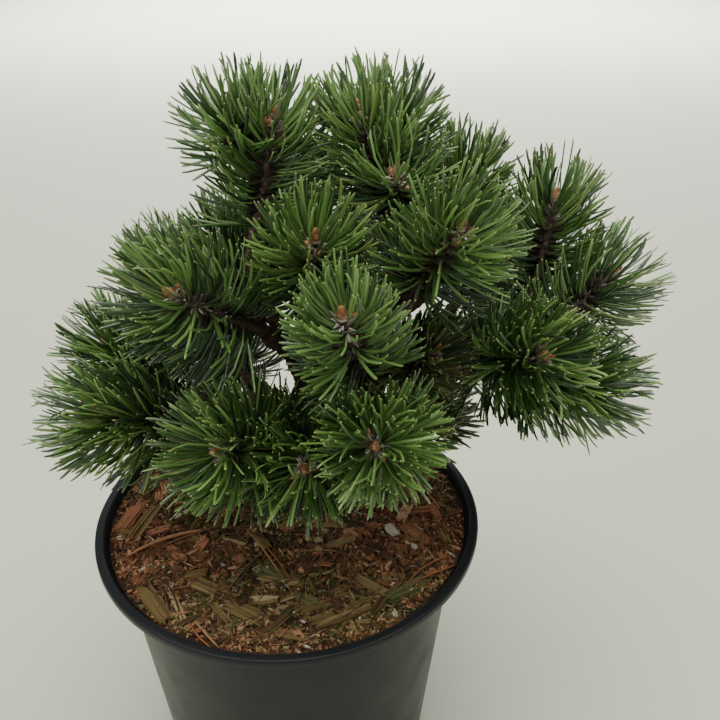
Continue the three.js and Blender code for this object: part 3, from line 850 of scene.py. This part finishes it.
# how light a tuft's greens are, partly for how fresh it is and partly as painted light and shade: from 1,
# where a tuft is fresh and in the light, to below 0, where it sits in deep shade and also gets olive greens
# as painted shade; the others are at 0.4
FRESHNESS_AND_PAINTED_LIGHT = dict(
    top=0.6, top_left=0.95, centre=0.85, centre_right=0.75, centre_left=0.8, right=0.2, front=0.75, left=0.0,
    outer_left=0.1, far_left=0.15, upper_left=0.3, low_right=-0.6, inner_right=-0.3, inner_left=-0.3,
    front_middle=0.3, back_low=0.2,
)


def deal_greens(tuft, seed):
    """A finish for each needle: both needles of a pair get the same one, and most are lighter the fresher
    and better lit their tuft is and the nearer they stand to its bud, partly as painted light."""
    rng = np.random.default_rng(900 + seed)
    freshness_and_painted_light = FRESHNESS_AND_PAINTED_LIGHT.get(CROWN[tuft["shoot"]["mass"]][0], 0.4)
    rise = tuft["sheaths"]["rise"]
    count = len(rise)
    # lighter greens for fresh tufts in the light and near the bud: partly painted light
    pick = np.clip(np.round(1.7 + 2.3 * freshness_and_painted_light + 1.4 * rise + rng.normal(0, 1.8, count)), 0, 5).astype(int)
    odd = rng.uniform(size=count)
    pick = np.where(odd < 0.10, GREYISH, pick)
    pick = np.where((odd > 0.90) & (rise > 0.3), YELLOWISH, pick)
    pick = np.where((odd > 0.96) & (rise > 0.3), PALEST, pick)
    # tufts in deep shade get olive greens: painted shade
    if freshness_and_painted_light < 0:
        pick = np.where(rng.uniform(size=count) < 0.5, OLIVE, pick)
    pick = np.where((rng.uniform(size=count) < 0.006) & (rise < 0.25), DRY, pick)
    return pick[tuft["needles"]["sheath"]]


STOREYS = dict(
    top=range(0, 5), upper=range(5, 10), middle=range(10, 15), lower=range(15, 21), lowest=range(21, 27),
)
for storey, masses in STOREYS.items():
    members = [(i, tuft) for i, tuft in enumerate(tufts) if tuft["shoot"]["mass"] in masses]
    points = np.concatenate([needle_points(tuft["needles"]) for _, tuft in members])
    pick = np.concatenate([deal_greens(tuft, i) for i, tuft in members])[:, None]
    # tip faces get the pale tip finishes, partly a painted highlight
    tones = np.where(is_tip, np.where(pick == DRY, DRY_TIP, TIP), pick)
    make_copies(
        f"needles_of_{storey}_storey", points, needle_quads, needle_triangles, needle_finishes, tones,
        slot="needles", stands_for=["needles_" + CROWN[mass][0] for mass in masses],
    )

# %% [markdown]
# ## Sheaths
# A papery sheath holds each pair at its foot. It is pale and fresh near the bud, and further down
# grey, then almost black. Seen together they make the dark, frayed heart of a tuft.

# %% Sheaths
SHEATH_RUN = np.array([-0.15, 0.25, 0.7, 1.0])
SHEATH_FAT = np.array([0.9, 1.1, 1.0, 0.72])
SHEATH_SIDES = 4


def sheath_points(foot, way, length, radius):
    """Rings of a short tube that narrows at both ends, and the middle of its mouth."""
    ring = circles(*square_to(way), 2 * np.pi * np.arange(SHEATH_SIDES) / SHEATH_SIDES)
    centre = foot[:, None] + way[:, None] * (length[:, None] * SHEATH_RUN)[..., None]
    rings = centre[:, :, None] + (radius[:, None] * SHEATH_FAT)[..., None, None] * ring[:, None]
    return np.concatenate([rings.reshape(len(foot), -1, 3), centre[:, -1:]], 1)


SHEATH_TONES = ["251c19", "362a25", "4b3e36", "63554b", "85796c", "a89e90"]
held = joined([keep(tuft["sheaths"], np.unique(tuft["needles"]["sheath"])) for tuft in tufts])
rng = np.random.default_rng(31)
count = len(held["foot"])
points = sheath_points(held["foot"], held["way"], rng.uniform(4.2, 6.6, count), rng.uniform(0.95, 1.2, count))
tone = np.clip(np.round(5 * held["rise"] ** 2 + rng.normal(0, 0.9, count)), 0, 5).astype(int)
sheath_finishes = shades("sheath tone", SHEATH_TONES, 0.85)
sheath_faces = pointed_skin(len(SHEATH_RUN), SHEATH_SIDES)
make_copies("needle_sheaths", points, *sheath_faces, sheath_finishes, tone, slot="bark")

# %% [markdown]
# ## Twigs
# The shoot inside a tuft is a knobbly twig, dark purple-brown, 6 mm thick at its foot and 4 mm under
# the buds. It is the same carried ring as a bough, on a straight line, with tighter cobbles.

# %% Twig skins


def twig_surface(shoot):
    """The shoot's skin, from a little inside its bough's tip to the foot of the bud."""
    way = shoot["way"]
    start = shoot["foot"] - way * (2.5 if shoot["main"] else 0.5)
    line = Limb("twig", start, way, shoot["foot"] + way * (shoot["length"] - 2.5), way, None)
    shares, angles, s, a = grid_of(46, 16)
    radius = mix(LIMB["tip"] if shoot["main"] else 2.3, 2.0, s**0.7)
    relief = 0.38 * cobbles(s * line.length, a, radius, 2.9)
    relief = relief + 0.2 * ripples(s * 20, 3 * np.cos(a), 3 * np.sin(a), shoot["mass"])
    return carried_rings(line, shares, angles, radius - 0.15 + relief)


stops = [(0.3, "2c211d"), (0.46, "4f3c34"), (0.6, "6f5b4f"), (0.74, "a39688")]
twig = patterned("young scaly twig", (420, 6, 0.7), stops, 0.88, (1100, 5, 0.7), 0.5, 0.0004)
make_piece("twigs", *join_skins([twig_surface(shoot) for shoot in shoots]), [twig], slot="bark")

# %% [markdown]
# ## Buds and bud scales
# Every shoot ends in fat resinous buds: one in the middle, which turns upright as it swells, and a
# few round its foot. A bud is an egg with a point, and its scales overlap like tiles, so its radius
# drops by a step at each scale's edge. The scales are orange-brown. Resin whitens some of their
# edges, and where the lower ones end they make a pale, frayed collar.

# %% Bud shape
BUD_ROWS, BUD_COLUMNS, BUD_TILES = 25, 14, 7


def bud_surface(foot, way, length, radius, seed):
    """radius(t) = R sin(pi (0.16 + 0.84 t)^1.15)^0.62 for t from the foot to the point. Along each
    scale that grows from 0.82 to 1.10 of itself, and neighbours are half a scale apart."""
    t, k = np.meshgrid(np.linspace(0, 1, BUD_ROWS), np.arange(BUD_COLUMNS), indexing="ij")
    egg = np.sin(np.pi * (0.16 + 0.84 * t) ** 1.15) ** 0.62
    tile = (BUD_TILES * t + 0.5 * (k // 2 % 2)) % 1
    rng = np.random.default_rng(seed)
    size = radius * egg * (0.82 + 0.28 * tile) * (1 + rng.normal(0, 0.04, t.shape))
    size[-1] = 0.02
    line = Limb("bud", foot, way, foot + way * length, way, None)
    return carried_rings(line, t[:, 0], 2 * np.pi * np.arange(BUD_COLUMNS) / BUD_COLUMNS, size)


def bud_sizes(number, shoot):
    """How many buds end a shoot, and each one's foot, direction, length and radius."""
    rng = np.random.default_rng(70 + number)
    way = shoot["way"]
    end = shoot["foot"] + way * (shoot["length"] - 4.5)
    upright = unit(way + [0, 0, 2.4 * max(0, way[2] - 0.5)])
    rows = [(end, upright, rng.uniform(9.5, 12), rng.uniform(2.0, 2.3))]
    count = rng.integers(2, 4)
    opening = np.radians(rng.uniform(40, 60, count))
    roll = 2 * np.pi * np.arange(count) / count + rng.uniform(0, 6) + rng.normal(0, 0.35, count)
    for side_way in splayed(way, opening, roll):
        side_foot = end - way * 0.4 + side_way * 3.0
        rows.append((side_foot, side_way, rng.uniform(5.2, 7.2), rng.uniform(1.45, 1.85)))
    return rows


buds = [row for number, shoot in enumerate(shoots) for row in bud_sizes(number, shoot)]
bud_skins = join_skins([bud_surface(*row, seed) for seed, row in enumerate(buds)])
print("buds:", len(buds))

# %% Bud colours
BUD_TONES = ["4f322b", "69463b", "845c4e", "8c5c3c", "a87048", "c08f62", "d3bfb4", "ae978c"]
BUD_FOOT, BUD_END, BUD_FRINGE = 0, 3, 6  # the first tone of each group in that list
rng = np.random.default_rng(77)
middles = (np.arange(BUD_ROWS - 1) + 0.5) / (BUD_ROWS - 1)
row, column = np.meshgrid(middles, np.arange(BUD_COLUMNS) // 2, indexing="ij")
tiles = BUD_TILES * row + 0.5 * (column % 2)
luck = rng.uniform(size=(len(buds), BUD_TILES + 1, BUD_COLUMNS // 2))[:, np.floor(tiles).astype(int), column]
body = np.where(row < 0.42, BUD_FOOT, BUD_END) + np.floor(3 * luck)
edge_of_tile = (tiles % 1 > 0.7) & (luck > 0.05 + 0.8 * row)
collar = (row > 0.4) & (row < 0.5) & (luck > 0.2)
tone = np.where(edge_of_tile | collar, BUD_FRINGE + (luck > 0.6), body).ravel()
deal = np.concatenate([tone, np.full(len(bud_skins[2]), BUD_END)])
make_piece("buds", *bud_skins, shades("bud tone", BUD_TONES, 0.55), deal, slot="bark")

# %% [markdown]
# Papery scales stand round the twig under the buds. The youngest are almost white, and further
# down they are worn and dark.

# %% Papery scales below the buds
SCALES = dict(each=165, reach=36.0, off=1.9)  # on every shoot, down from its end, off its middle
SCALE_TONES = ["cfcbbb", "a39b8e", "6f645b", "3d322d"]
SCALE_RUN = np.array([0, 0.4, 0.75])
SCALE_FAT = np.array([0.7, 1.0, 0.6])
SCALE_LIFT = np.array([0, 0.10, 0.30])


def scale_points(foot, way, lean, length, width):
    """A thin curled blade: two edges and a raised middle at three shares of its length, and a point."""
    side = np.cross(way, lean)[:, None]
    way, lean, length = way[:, None], lean[:, None], length[:, None, None]
    centre = foot[:, None] + length * (SCALE_RUN[:, None] * way + SCALE_LIFT[:, None] * lean)
    half = (width[:, None] * SCALE_FAT)[..., None] * 0.5
    offsets = [-half * side, half * 0.45 * lean, half * side, -half * 0.1 * lean]
    rings = np.stack([centre + offset for offset in offsets], 2)
    tip = foot[:, None] + length * (way + 0.5 * lean)
    return np.concatenate([rings.reshape(len(foot), -1, 3), tip], 1)


rng = np.random.default_rng(12)
count = SCALES["each"] * len(shoots)
ways, lengths, feet = (
    np.repeat(values, SCALES["each"], axis=0) for values in (shoot_ways, shoot_lengths, shoot_feet)
)
back = rng.uniform(0, 1, count) ** 1.35 * SCALES["reach"]
roll = rng.uniform(0, 2 * np.pi, count)
outs = splayed(ways, np.full(count, np.pi / 2), roll)
feet = feet + ways * (lengths - back)[:, None] + outs * SCALES["off"]
forward, outward = rng.uniform(0.4, 1.3, (count, 1)), rng.uniform(0.2, 1.0, (count, 1))
ways = unit(ways * forward + outs * outward + rng.normal(0, 0.25, (count, 3)))
leans = unit(outs - np.sum(outs * ways, -1, keepdims=True) * ways)
points = scale_points(feet, ways, leans, rng.uniform(1.8, 4.8, count), rng.uniform(0.6, 1.3, count))
tone = np.clip(np.round(back / 13 + rng.normal(0.35, 0.85, count)), 0, 3).astype(int)
scale_faces = pointed_skin(len(SCALE_RUN), 4)
make_copies("bud_scales", points, *scale_faces, shades("scale tone", SCALE_TONES, 0.8), tone, slot="bark")

# %% [markdown]
# ## The mulch bed
# The pot is filled with bark and peat. Its surface is a height over the ground plan: the same low
# swell as the solid, with crumbs a millimetre or two high added. The bed goes on down inside the
# pot to its floor, so that it is one closed body.

# %% Bed
BED = dict(rings=96, sides=260, clear=0.4)
BED_HEIGHTS = (148, 146, FLARE_FOOT, 100, 50, 4)


def fill_height(x, y):
    """The solid's own surface: level by the trunk, lower and rougher further out."""
    reach = np.hypot(x, y)
    share = reach / pot_inside(FILL["level"])
    rough = np.sin(x * 0.11 + 1.3) * np.cos(y * 0.13 - 0.4) + 0.6 * np.sin((x + y) * 0.21)
    off = np.clip((reach - FILL["flat"]) / 20, 0, 1)
    swell = FILL["bump"] * rough * off * (1 - share)
    return FILL["level"] - FILL["gap"] - FILL["edge_drop"] * share**2 * off + swell


bed_edge = float(pot_inside(FILL["level"] - FILL["edge_drop"] - FILL["gap"])) - BED["clear"]


def bed_height(x, y):
    """The bed with its fine relief, which calms down at the wall."""
    coarse = ripples(x * 0.42, y * 0.42, 0, 3, 9)
    fine = ripples(x * 1.3, y * 1.3, 0, 4, 11)
    calm = np.clip((bed_edge - np.hypot(x, y)) / 3, 0, 1)
    return fill_height(x, y) + (0.9 * coarse + 0.7 * np.abs(fine) - 0.5) * (0.3 + 0.7 * calm)


rings = np.concatenate([[0.4], np.linspace(1.6, bed_edge, BED["rings"])])
top = turned(np.column_stack([rings, rings]), BED["sides"])
top[..., 2] = bed_height(top[..., 0], top[..., 1])
below = [(pot_inside(z) - BED["clear"], z + BED["clear"]) for z in BED_HEIGHTS] + [(30, 3.0), (1, 3.0)]
bed = np.concatenate([top, turned(below, BED["sides"])])[::-1]
stops = [(0.3, "251910"), (0.46, "422c1a"), (0.6, "64432b"), (0.74, "8c6441")]
mulch = patterned("damp bark mulch", (55, 8, 0.7), stops, 0.95, (500, 8, 0.75), 0.9, 0.0012)
make_piece("mulch_bed", *join_skins([bed]), [mulch], slot="soil", stands_for=["soil"])

# %% [markdown]
# ## Strips and crumbs
# What the eye reads as mulch is thousands of loose bits: crumbs of peat, splinters, and chips of
# wood and bark with a coarse grain. A crumb is an uneven box. A splinter is a strip of four-cornered
# rings that narrows to both ends, and a chip is a few splinters side by side, each a little longer
# or shorter, lighter or darker than the next. The left back and the right are red-brown peat and
# bark, and the front is older olive-brown wood, so the colours are dealt by place.

# %% Shapes of strips and crumbs
STRIP_RUN = np.array([-0.5, -0.2, 0.2, 0.5])
STRIP_FAT = np.array([0.45, 1.0, 0.95, 0.4])
STRIP_QUADS = np.concatenate([skin(len(STRIP_RUN), 4), [[0, 3, 2, 1], [12, 13, 14, 15]]])
CRUMB_QUADS = np.concatenate([skin(2, 4), [[0, 3, 2, 1], [4, 5, 6, 7]]])


def lying(heading, tilt, rng):
    """Three directions for each piece: along it, across it and up out of it."""
    way = np.stack([np.cos(heading) * np.cos(tilt), np.sin(heading) * np.cos(tilt), np.sin(tilt)], -1)
    side = np.stack([-np.sin(heading), np.cos(heading), rng.normal(0, 0.25, len(heading))], -1)
    side = unit(side - np.sum(side * way, -1, keepdims=True) * way)
    return way, side, np.cross(way, side)


def strip_points(rows, seed):
    """Four-cornered rings along each strip, whose widths and corners are all a little uneven."""
    rng = np.random.default_rng(seed)
    count, rings = len(rows["long"]), len(STRIP_RUN)
    way, side, up = (vectors[:, None] for vectors in lying(rows["heading"], rows["tilt"], rng))
    fat = STRIP_FAT * rng.uniform(0.75, 1.2, (count, rings))
    bow = rng.normal(0, 0.04, (2, count, 1)) * (0.25 - STRIP_RUN**2)
    sway = bow[0, ..., None] * up + bow[1, ..., None] * side
    centre = rows["middle"][:, None] + rows["long"][:, None, None] * (STRIP_RUN[:, None] * way + sway)
    corner = SQUARE + rng.normal(0, 0.18, (count, rings, 4, 2))
    half = 0.5 * np.stack([rows["wide"][:, None] * fat, rows["deep"][:, None] * fat**0.5], -1)[:, :, None]
    across, high = np.split(half * corner, 2, axis=-1)
    return (centre[:, :, None] + across * side[:, None] + high * up[:, None]).reshape(count, -1, 3)


def crumb_points(rows, seed):
    """Boxes with every corner pushed about."""
    rng = np.random.default_rng(seed)
    count = len(rows["long"])
    axes = np.stack(lying(rows["heading"], rows["tilt"], rng), 1)
    corner = np.concatenate([np.column_stack([np.full(4, end), SQUARE]) for end in (-1, 1)])
    corner = corner * rng.uniform(0.45, 1.1, (count, 8, 3))
    offset = corner * 0.5 * np.stack([rows["long"], rows["wide"], rows["deep"]], -1)[:, None]
    return rows["middle"][:, None] + offset @ axes


print("faces of a strip and of a crumb:", len(STRIP_QUADS), len(CRUMB_QUADS))

# %% Chips from strips
CHIP_TONES = [
    "3f291a", "5e3c26", "7e5335", "996545", "b27c5a", "c69672",  # peat and bark, dark to light
    "44361c", "5e4c2b", "796439", "907b50", "a68f67", "baa680",  # weathered wood
    "45482a", "5a5d34", "6e7145",  # wood with a green film
    "a68a5f", "b9a583", "c9c0ac",  # fresh or bleached
]
CHIP_FAMILIES = [6, 12, 15]  # where each next group of tones starts
PEAT, OLD, GREEN, PALE = 0, *CHIP_FAMILIES
chip_finishes = shades("chip tone", CHIP_TONES, 0.9)


def splinter(rows, pitch, seed):
    """Each row becomes a few strips side by side, about as wide as the pitch."""
    rng = np.random.default_rng(seed)
    parts = np.clip(np.round(rows["wide"] / pitch), 1, 7).astype(int)
    owner = np.repeat(np.arange(len(parts)), parts)
    place = np.arange(len(owner)) - np.repeat(np.cumsum(parts) - parts, parts)
    split = keep(rows, owner)
    parts, count = parts[owner], len(owner)
    many = parts > 1
    aside = ((place + 0.5) / parts - 0.5) * split["wide"]
    shift = rng.normal(0, 0.022, count) * split["long"]
    cos, sin = np.cos(split["heading"]), np.sin(split["heading"])
    lift = rng.normal(0, 0.12, count)
    offset = np.stack([shift * cos - aside * sin, shift * sin + aside * cos, lift], -1)
    split["middle"] = split["middle"] + offset
    split["heading"] = split["heading"] + rng.normal(0, 0.018, count) * many
    split["long"] = split["long"] * np.where(many, rng.uniform(0.84, 1.0, count), 1)
    split["wide"] = split["wide"] / parts * np.where(many, 1.4, 1)
    step = np.round(rng.normal(0, 0.36, count)).astype(int) * many
    family = np.searchsorted(CHIP_FAMILIES, split["tone"], side="right")
    bounds = np.array([0, *CHIP_FAMILIES, len(CHIP_TONES)])
    split["tone"] = np.clip(split["tone"] + step, bounds[family], bounds[family + 1] - 1)
    return split


def patch(x, y, middle, reach):
    """A soft round patch of the bed: 1 in its middle, and falling off over its reach."""
    return np.exp(-(((x - middle[0]) / reach[0]) ** 2 + ((y - middle[1]) / reach[1]) ** 2))


def deal_chips(x, y, rng):
    """Peat tones where the bed is red, weathered ones elsewhere, and a few green or pale ones anywhere."""
    count = len(x)
    red = 0.26 + 0.9 * patch(x, y, (-68, -14), (34, 42)) + 0.7 * patch(x, y, (66, -22), (28, 34))
    red = red + 0.6 * patch(x, y, (-6, -80), (16, 9)) + 0.25 * ripples(x * 0.09, y * 0.09, 0, 21)
    is_red = rng.uniform(size=count) < np.clip(red, 0.05, 0.96)
    warm = PEAT + np.clip(np.round(rng.normal(2.3, 1.4, count)), 0, 5)
    old = OLD + np.clip(np.round(rng.normal(2.0, 1.4, count)), 0, 5)
    pick = np.where(is_red, warm, old)
    luck = rng.uniform(size=count)
    pick = np.where(~is_red & (luck > 0.9), GREEN + np.floor((luck - 0.9) / 0.1 * 3), pick)
    return np.where(luck < 0.03, PALE + np.floor(luck / 0.03 * 3), pick).astype(int)


def off_trunk(x, y, distance):
    """True where a place on the bed is that far from the trunk's middle."""
    return np.hypot(x - TRUNK["foot"][0], y - TRUNK["foot"][1]) > distance


def scatter(count, long, wide, deep, sunk, seed):
    """Bits spread evenly over the bed. long, wide and deep are (least, most) in millimetres."""
    rng = np.random.default_rng(seed)
    length = mix(*long, rng.uniform(size=count) ** 1.7)
    reach = (bed_edge - 0.2 - 0.45 * length) * np.sqrt(rng.uniform(size=count))
    bearing = rng.uniform(0, 2 * np.pi, count)
    x, y = reach * np.cos(bearing), reach * np.sin(bearing)
    free = off_trunk(x, y, 14 + 0.4 * length)
    x, y, length = x[free], y[free], length[free]
    count = len(x)
    thick = rng.uniform(*deep, count)
    z = bed_height(x, y) + rng.uniform(-sunk, 0.6 * sunk, count) + 0.3 * thick
    return dict(
        middle=np.stack([x, y, z], -1), heading=rng.uniform(0, np.pi, count), tilt=rng.normal(0, 0.15, count),
        long=length, wide=np.minimum(rng.uniform(*wide, count), length * 0.6), deep=thick,
        tone=deal_chips(x, y, rng),
    )


def lay_bits(name, points, quads, tones):
    """Hard-edged bits of mulch as one piece."""
    make_copies(name, points, quads, NO_TRIANGLES, chip_finishes, tones, slot="soil", smooth=False)


crumbs = scatter(11500, (0.9, 3.2), (0.6, 2.0), (0.6, 1.5), 0.6, 201)
lay_bits("peat_crumbs", crumb_points(crumbs, 202), CRUMB_QUADS, crumbs["tone"])
chips = joined([
    splinter(scatter(2900, (3.0, 10.0), (0.5, 1.5), (0.4, 1.0), 0.6, 203), 1.0, 204),
    splinter(scatter(480, (6.0, 14.0), (1.4, 3.6), (0.6, 1.3), 0.4, 205), 0.9, 206),
    splinter(scatter(90, (12.0, 24.0), (2.5, 5.5), (0.9, 1.6), 0.3, 207), 0.9, 208),
])
lay_bits("bark_chips", strip_points(chips, 209), STRIP_QUADS, chips["tone"])

# %% [markdown]
# A few bits stand out from a step away: long pieces of old wood near the front, an orange chip, a
# bleached one, and bark that leans on the left wall. They are placed one by one, from end to end.

# %% Large pieces of wood
WOOD = [  # from (x, y), to (x, y), width, thickness, tone
    ((-63, -50), (-47, -71), 6.5, 2.2, OLD + 2), ((-24, -61), (-5, -71), 7.0, 1.8, OLD + 2),
    ((15, -73), (42, -60), 8.0, 2.0, OLD + 2), ((8, -65), (33, -55), 4.5, 1.6, OLD + 2),
    ((-13, -38), (2, -48), 8.0, 1.6, GREEN + 1), ((47, -58), (68, -46), 7.0, 1.8, GREEN + 1),
    ((-40, -48), (-28, -54), 6.0, 1.8, OLD + 2), ((28, -13), (34, -19), 3.6, 1.4, PEAT + 5),
    ((49, -9), (54, -17), 4.6, 1.4, PALE + 2), ((-8, -46), (12, -50), 3.4, 1.2, OLD + 2),
    ((34, -44), (50, -56), 3.6, 1.4, OLD + 3), ((16, -10), (30, -9), 3.6, 1.4, PALE),
    ((-76, 12), (-84, -16), 8.0, 2.0, PEAT + 3), ((-68, 8), (-76, -22), 6.0, 1.8, OLD + 2),
    ((56, -8), (70, -22), 6.0, 1.8, PEAT + 3), ((-30, -60), (-20, -72), 3.0, 1.4, OLD + 2),
    ((-2, -76), (14, -80), 4.0, 1.4, OLD + 2), ((70, 10), (76, -4), 4.0, 1.4, PEAT + 3),
    ((-20, 60), (4, 66), 6.5, 1.8, OLD + 2), ((40, 48), (58, 38), 6.0, 1.8, OLD + 2),
    ((-58, 36), (-44, 50), 6.0, 1.6, OLD + 2), ((58, 12), (66, 30), 4.5, 1.6, PEAT + 3),
]


def ends_and_rest(table):
    """The two ends of each listed row, and its other numbers."""
    start, end = (np.array([row[i] for row in table], float) for i in (0, 1))
    return start, end, np.array([row[2:] for row in table], float).T


start, end, (wide, deep, tone) = ends_and_rest(WOOD)
flat_middle = (start + end) / 2
run = np.linalg.norm(end - start, axis=1)
wood = splinter(dict(
    middle=np.column_stack([flat_middle, fill_height(*flat_middle.T) + 0.5]),
    heading=np.arctan2(*(end - start).T[::-1]),
    tilt=np.arctan2(fill_height(*end.T) - fill_height(*start.T), run),
    long=run, wide=wide, deep=deep, tone=tone.astype(int),
), 1.0, 9)
lay_bits("wood_pieces", strip_points(wood, 10), STRIP_QUADS, wood["tone"])

# %% [markdown]
# ## Fibres and fallen needles
# Thin roots, fibres and dried needle pairs lie over the chips. Each is a fine three-sided tube
# along a gentle bow, a little above the bed in its middle and touching down at both ends.

# %% Fibre shape
FIBRE_FAT = np.array([0.45, 0.9, 1, 1, 1, 0.9, 0.35])
FIBRE_ROWS, FIBRE_SIDES = len(FIBRE_FAT), 3
FIBRE_CAPS = np.array([[0, 2, 1], [18, 19, 20]])


def fibre_points(start, end, bow, rise, radius, wobble, seed):
    """Rings of three points along a bow from start to end: the line, plus 4 t (1 - t) of the bow
    sideways and of the rise upwards, and a wobble that is a share of the length."""
    rng = np.random.default_rng(seed)
    t = np.linspace(0, 1, FIBRE_ROWS)
    span = end - start
    across = unit(np.stack([-span[:, 1], span[:, 0], 0 * span[:, 0]], -1))
    hump = 4 * t * (1 - t)
    length = np.linalg.norm(span, axis=1)[:, None]
    sway = rng.normal(0, wobble, (len(start), FIBRE_ROWS)) * length * (hump > 0)
    centre = start[:, None] + t[None, :, None] * span[:, None]
    centre = centre + (bow[:, None] * hump + sway)[..., None] * across[:, None]
    centre[..., 2] += rise[:, None] * hump
    ring = circles(across, np.array([[0, 0, 1.0]]), 2 * np.pi * np.arange(FIBRE_SIDES) / FIBRE_SIDES)
    fat = (radius[:, None] * FIBRE_FAT)[..., None, None]
    return (centre[:, :, None] + fat * ring[:, None]).reshape(len(start), -1, 3)


def on_bed(x, y, lift):
    """Points on the bed, lifted by a height."""
    return np.stack([x, y, bed_height(x, y) + lift], -1)


rng = np.random.default_rng(44)
count = 1500
long = mix(4, 20, rng.uniform(size=count) ** 2)
reach = (bed_edge - 1.5 - 0.5 * long) * np.sqrt(rng.uniform(size=count))
bearing, heading = rng.uniform(0, 2 * np.pi, (2, count))
x, y = reach * np.cos(bearing), reach * np.sin(bearing)
x, y, long, heading = np.stack([x, y, long, heading])[:, off_trunk(x, y, 16 + 0.5 * long)]
dx, dy = 0.5 * long * np.cos(heading), 0.5 * long * np.sin(heading)
count = len(x)
loose = fibre_points(
    on_bed(x - dx, y - dy, 0.6), on_bed(x + dx, y + dy, 0.7), long * rng.normal(0, 0.09, count),
    rng.uniform(0, 1.3, count), rng.uniform(0.12, 0.3, count), 0.009, 45,
)
loose_tone = rng.choice(6, count, p=[0.24, 0.26, 0.22, 0.06, 0.07, 0.15])
print("loose fibres:", count)

# %% Fallen needles and the piece
FALLEN = [  # from (x, y), to (x, y), bow, rise, radius, tone
    ((-21, -12), (6, -56), 0.6, 2.0, 0.55, 4), ((-20, -13), (8, -55), 1.6, 2.4, 0.5, 3),
    ((-20, -13), (5, -29), -1, 1.6, 0.5, 0), ((5, -29), (26, -28), 0.4, 1, 0.45, 4),
    ((-24, -54), (-11, -30), 0.6, 1.6, 0.55, 5), ((-22, -54), (-12, -29), -0.8, 1.8, 0.5, 1),
    ((-36, -70), (-23, -85), -0.6, 1.2, 0.6, 4), ((-38, -71), (-25, -86), -1.6, 1.2, 0.55, 3),
    ((57, -49), (80, -31), 1.5, 2.0, 0.55, 3), ((57, -49), (82, -36), -2, 2.4, 0.55, 3),
    ((52, -33), (58, -56), -2, 2, 0.55, 1), ((52, -37), (53, -52), 3, 2.2, 0.5, 2),
    ((-76, -31), (-37, -13), 2, 2.2, 1.3, 4), ((-60, -24), (-26, -6), -0.6, 2, 0.9, 2),
    ((-58, -46), (-46, -72), 1.5, 1.8, 0.5, 1), ((-57, -45), (-42, -70), 2, 2.2, 0.5, 0),
    ((-70, 30), (-40, 52), 2, 2, 0.55, 3), ((-34, 66), (2, 74), -2, 2.4, 0.55, 2),
    ((26, 72), (56, 54), 1.5, 2, 0.55, 3), ((66, 30), (78, 2), -1.5, 2, 0.55, 4),
    ((-10, 40), (22, 48), 2, 2, 0.5, 1), ((-80, 8), (-62, 26), 1.5, 2, 0.55, 2),
]
FIBRE_TONES = ["4a3523", "664a2f", "80603c", "a4683a", "bd8a5c", "756a45"]
start, end, (bow, rise, radius, fallen_tone) = ends_and_rest(FALLEN)
fallen = fibre_points(on_bed(*start.T, 0.9), on_bed(*end.T, 0.9), bow, rise, radius, 0.002, 46)
tone = np.concatenate([loose_tone, fallen_tone]).astype(int)
make_copies(
    "fibres_and_fallen_needles", np.concatenate([loose, fallen]), skin(FIBRE_ROWS, FIBRE_SIDES), FIBRE_CAPS,
    shades("fibre tone", FIBRE_TONES, 0.7), tone, slot="soil",
)

# %% [markdown]
# ## Moss
# Damp mulch grows a little moss, here a bright patch at the back of the left side and a thin film
# of it among the chips. A moss leaf is a tiny upright blade of four faces.

# %% Moss
MOSS = [  # middle (x, y), size of the patch, leaves
    (-71, 21, 9, 900), (-52, -6, 6, 160), (12, -40, 10, 170), (-2, -58, 12, 160), (30, -66, 9, 120),
    (20, 60, 14, 260),
]
MOSS_TONES = ["3d4d17", "55691d", "6f8427", "4a4a1f"]


def moss_points(x, y, height, width, seed):
    """Thin pyramids on three corners that lean at random."""
    rng = np.random.default_rng(seed)
    foot = on_bed(x, y, 0.1)
    turn = rng.uniform(0, 2 * np.pi, len(x))[:, None] + 2 * np.pi * np.arange(3) / 3
    corners = width[:, None, None] * np.stack([np.cos(turn), np.sin(turn), 0 * turn], -1)
    lean = rng.normal(0, 0.35, (len(x), 2)) * height[:, None]
    tip = foot + np.column_stack([lean, height])
    return np.concatenate([foot[:, None] + corners, tip[:, None]], 1)


rng = np.random.default_rng(5)
spots = [rng.normal((x, y), (size, size * 0.7), (leaves, 2)) for x, y, size, leaves in MOSS]
x, y = np.concatenate(spots).T
x, y = np.stack([x, y])[:, np.hypot(x, y) < bed_edge - 1]
count = len(x)
points = moss_points(x, y, rng.uniform(0.8, 2.6, count), rng.uniform(0.35, 0.7, count), 6)
tone = rng.choice(4, count, p=[0.3, 0.3, 0.2, 0.2])
make_copies("moss", points, *pointed_skin(1, 3), shades("moss tone", MOSS_TONES, 0.9), tone, slot="soil")
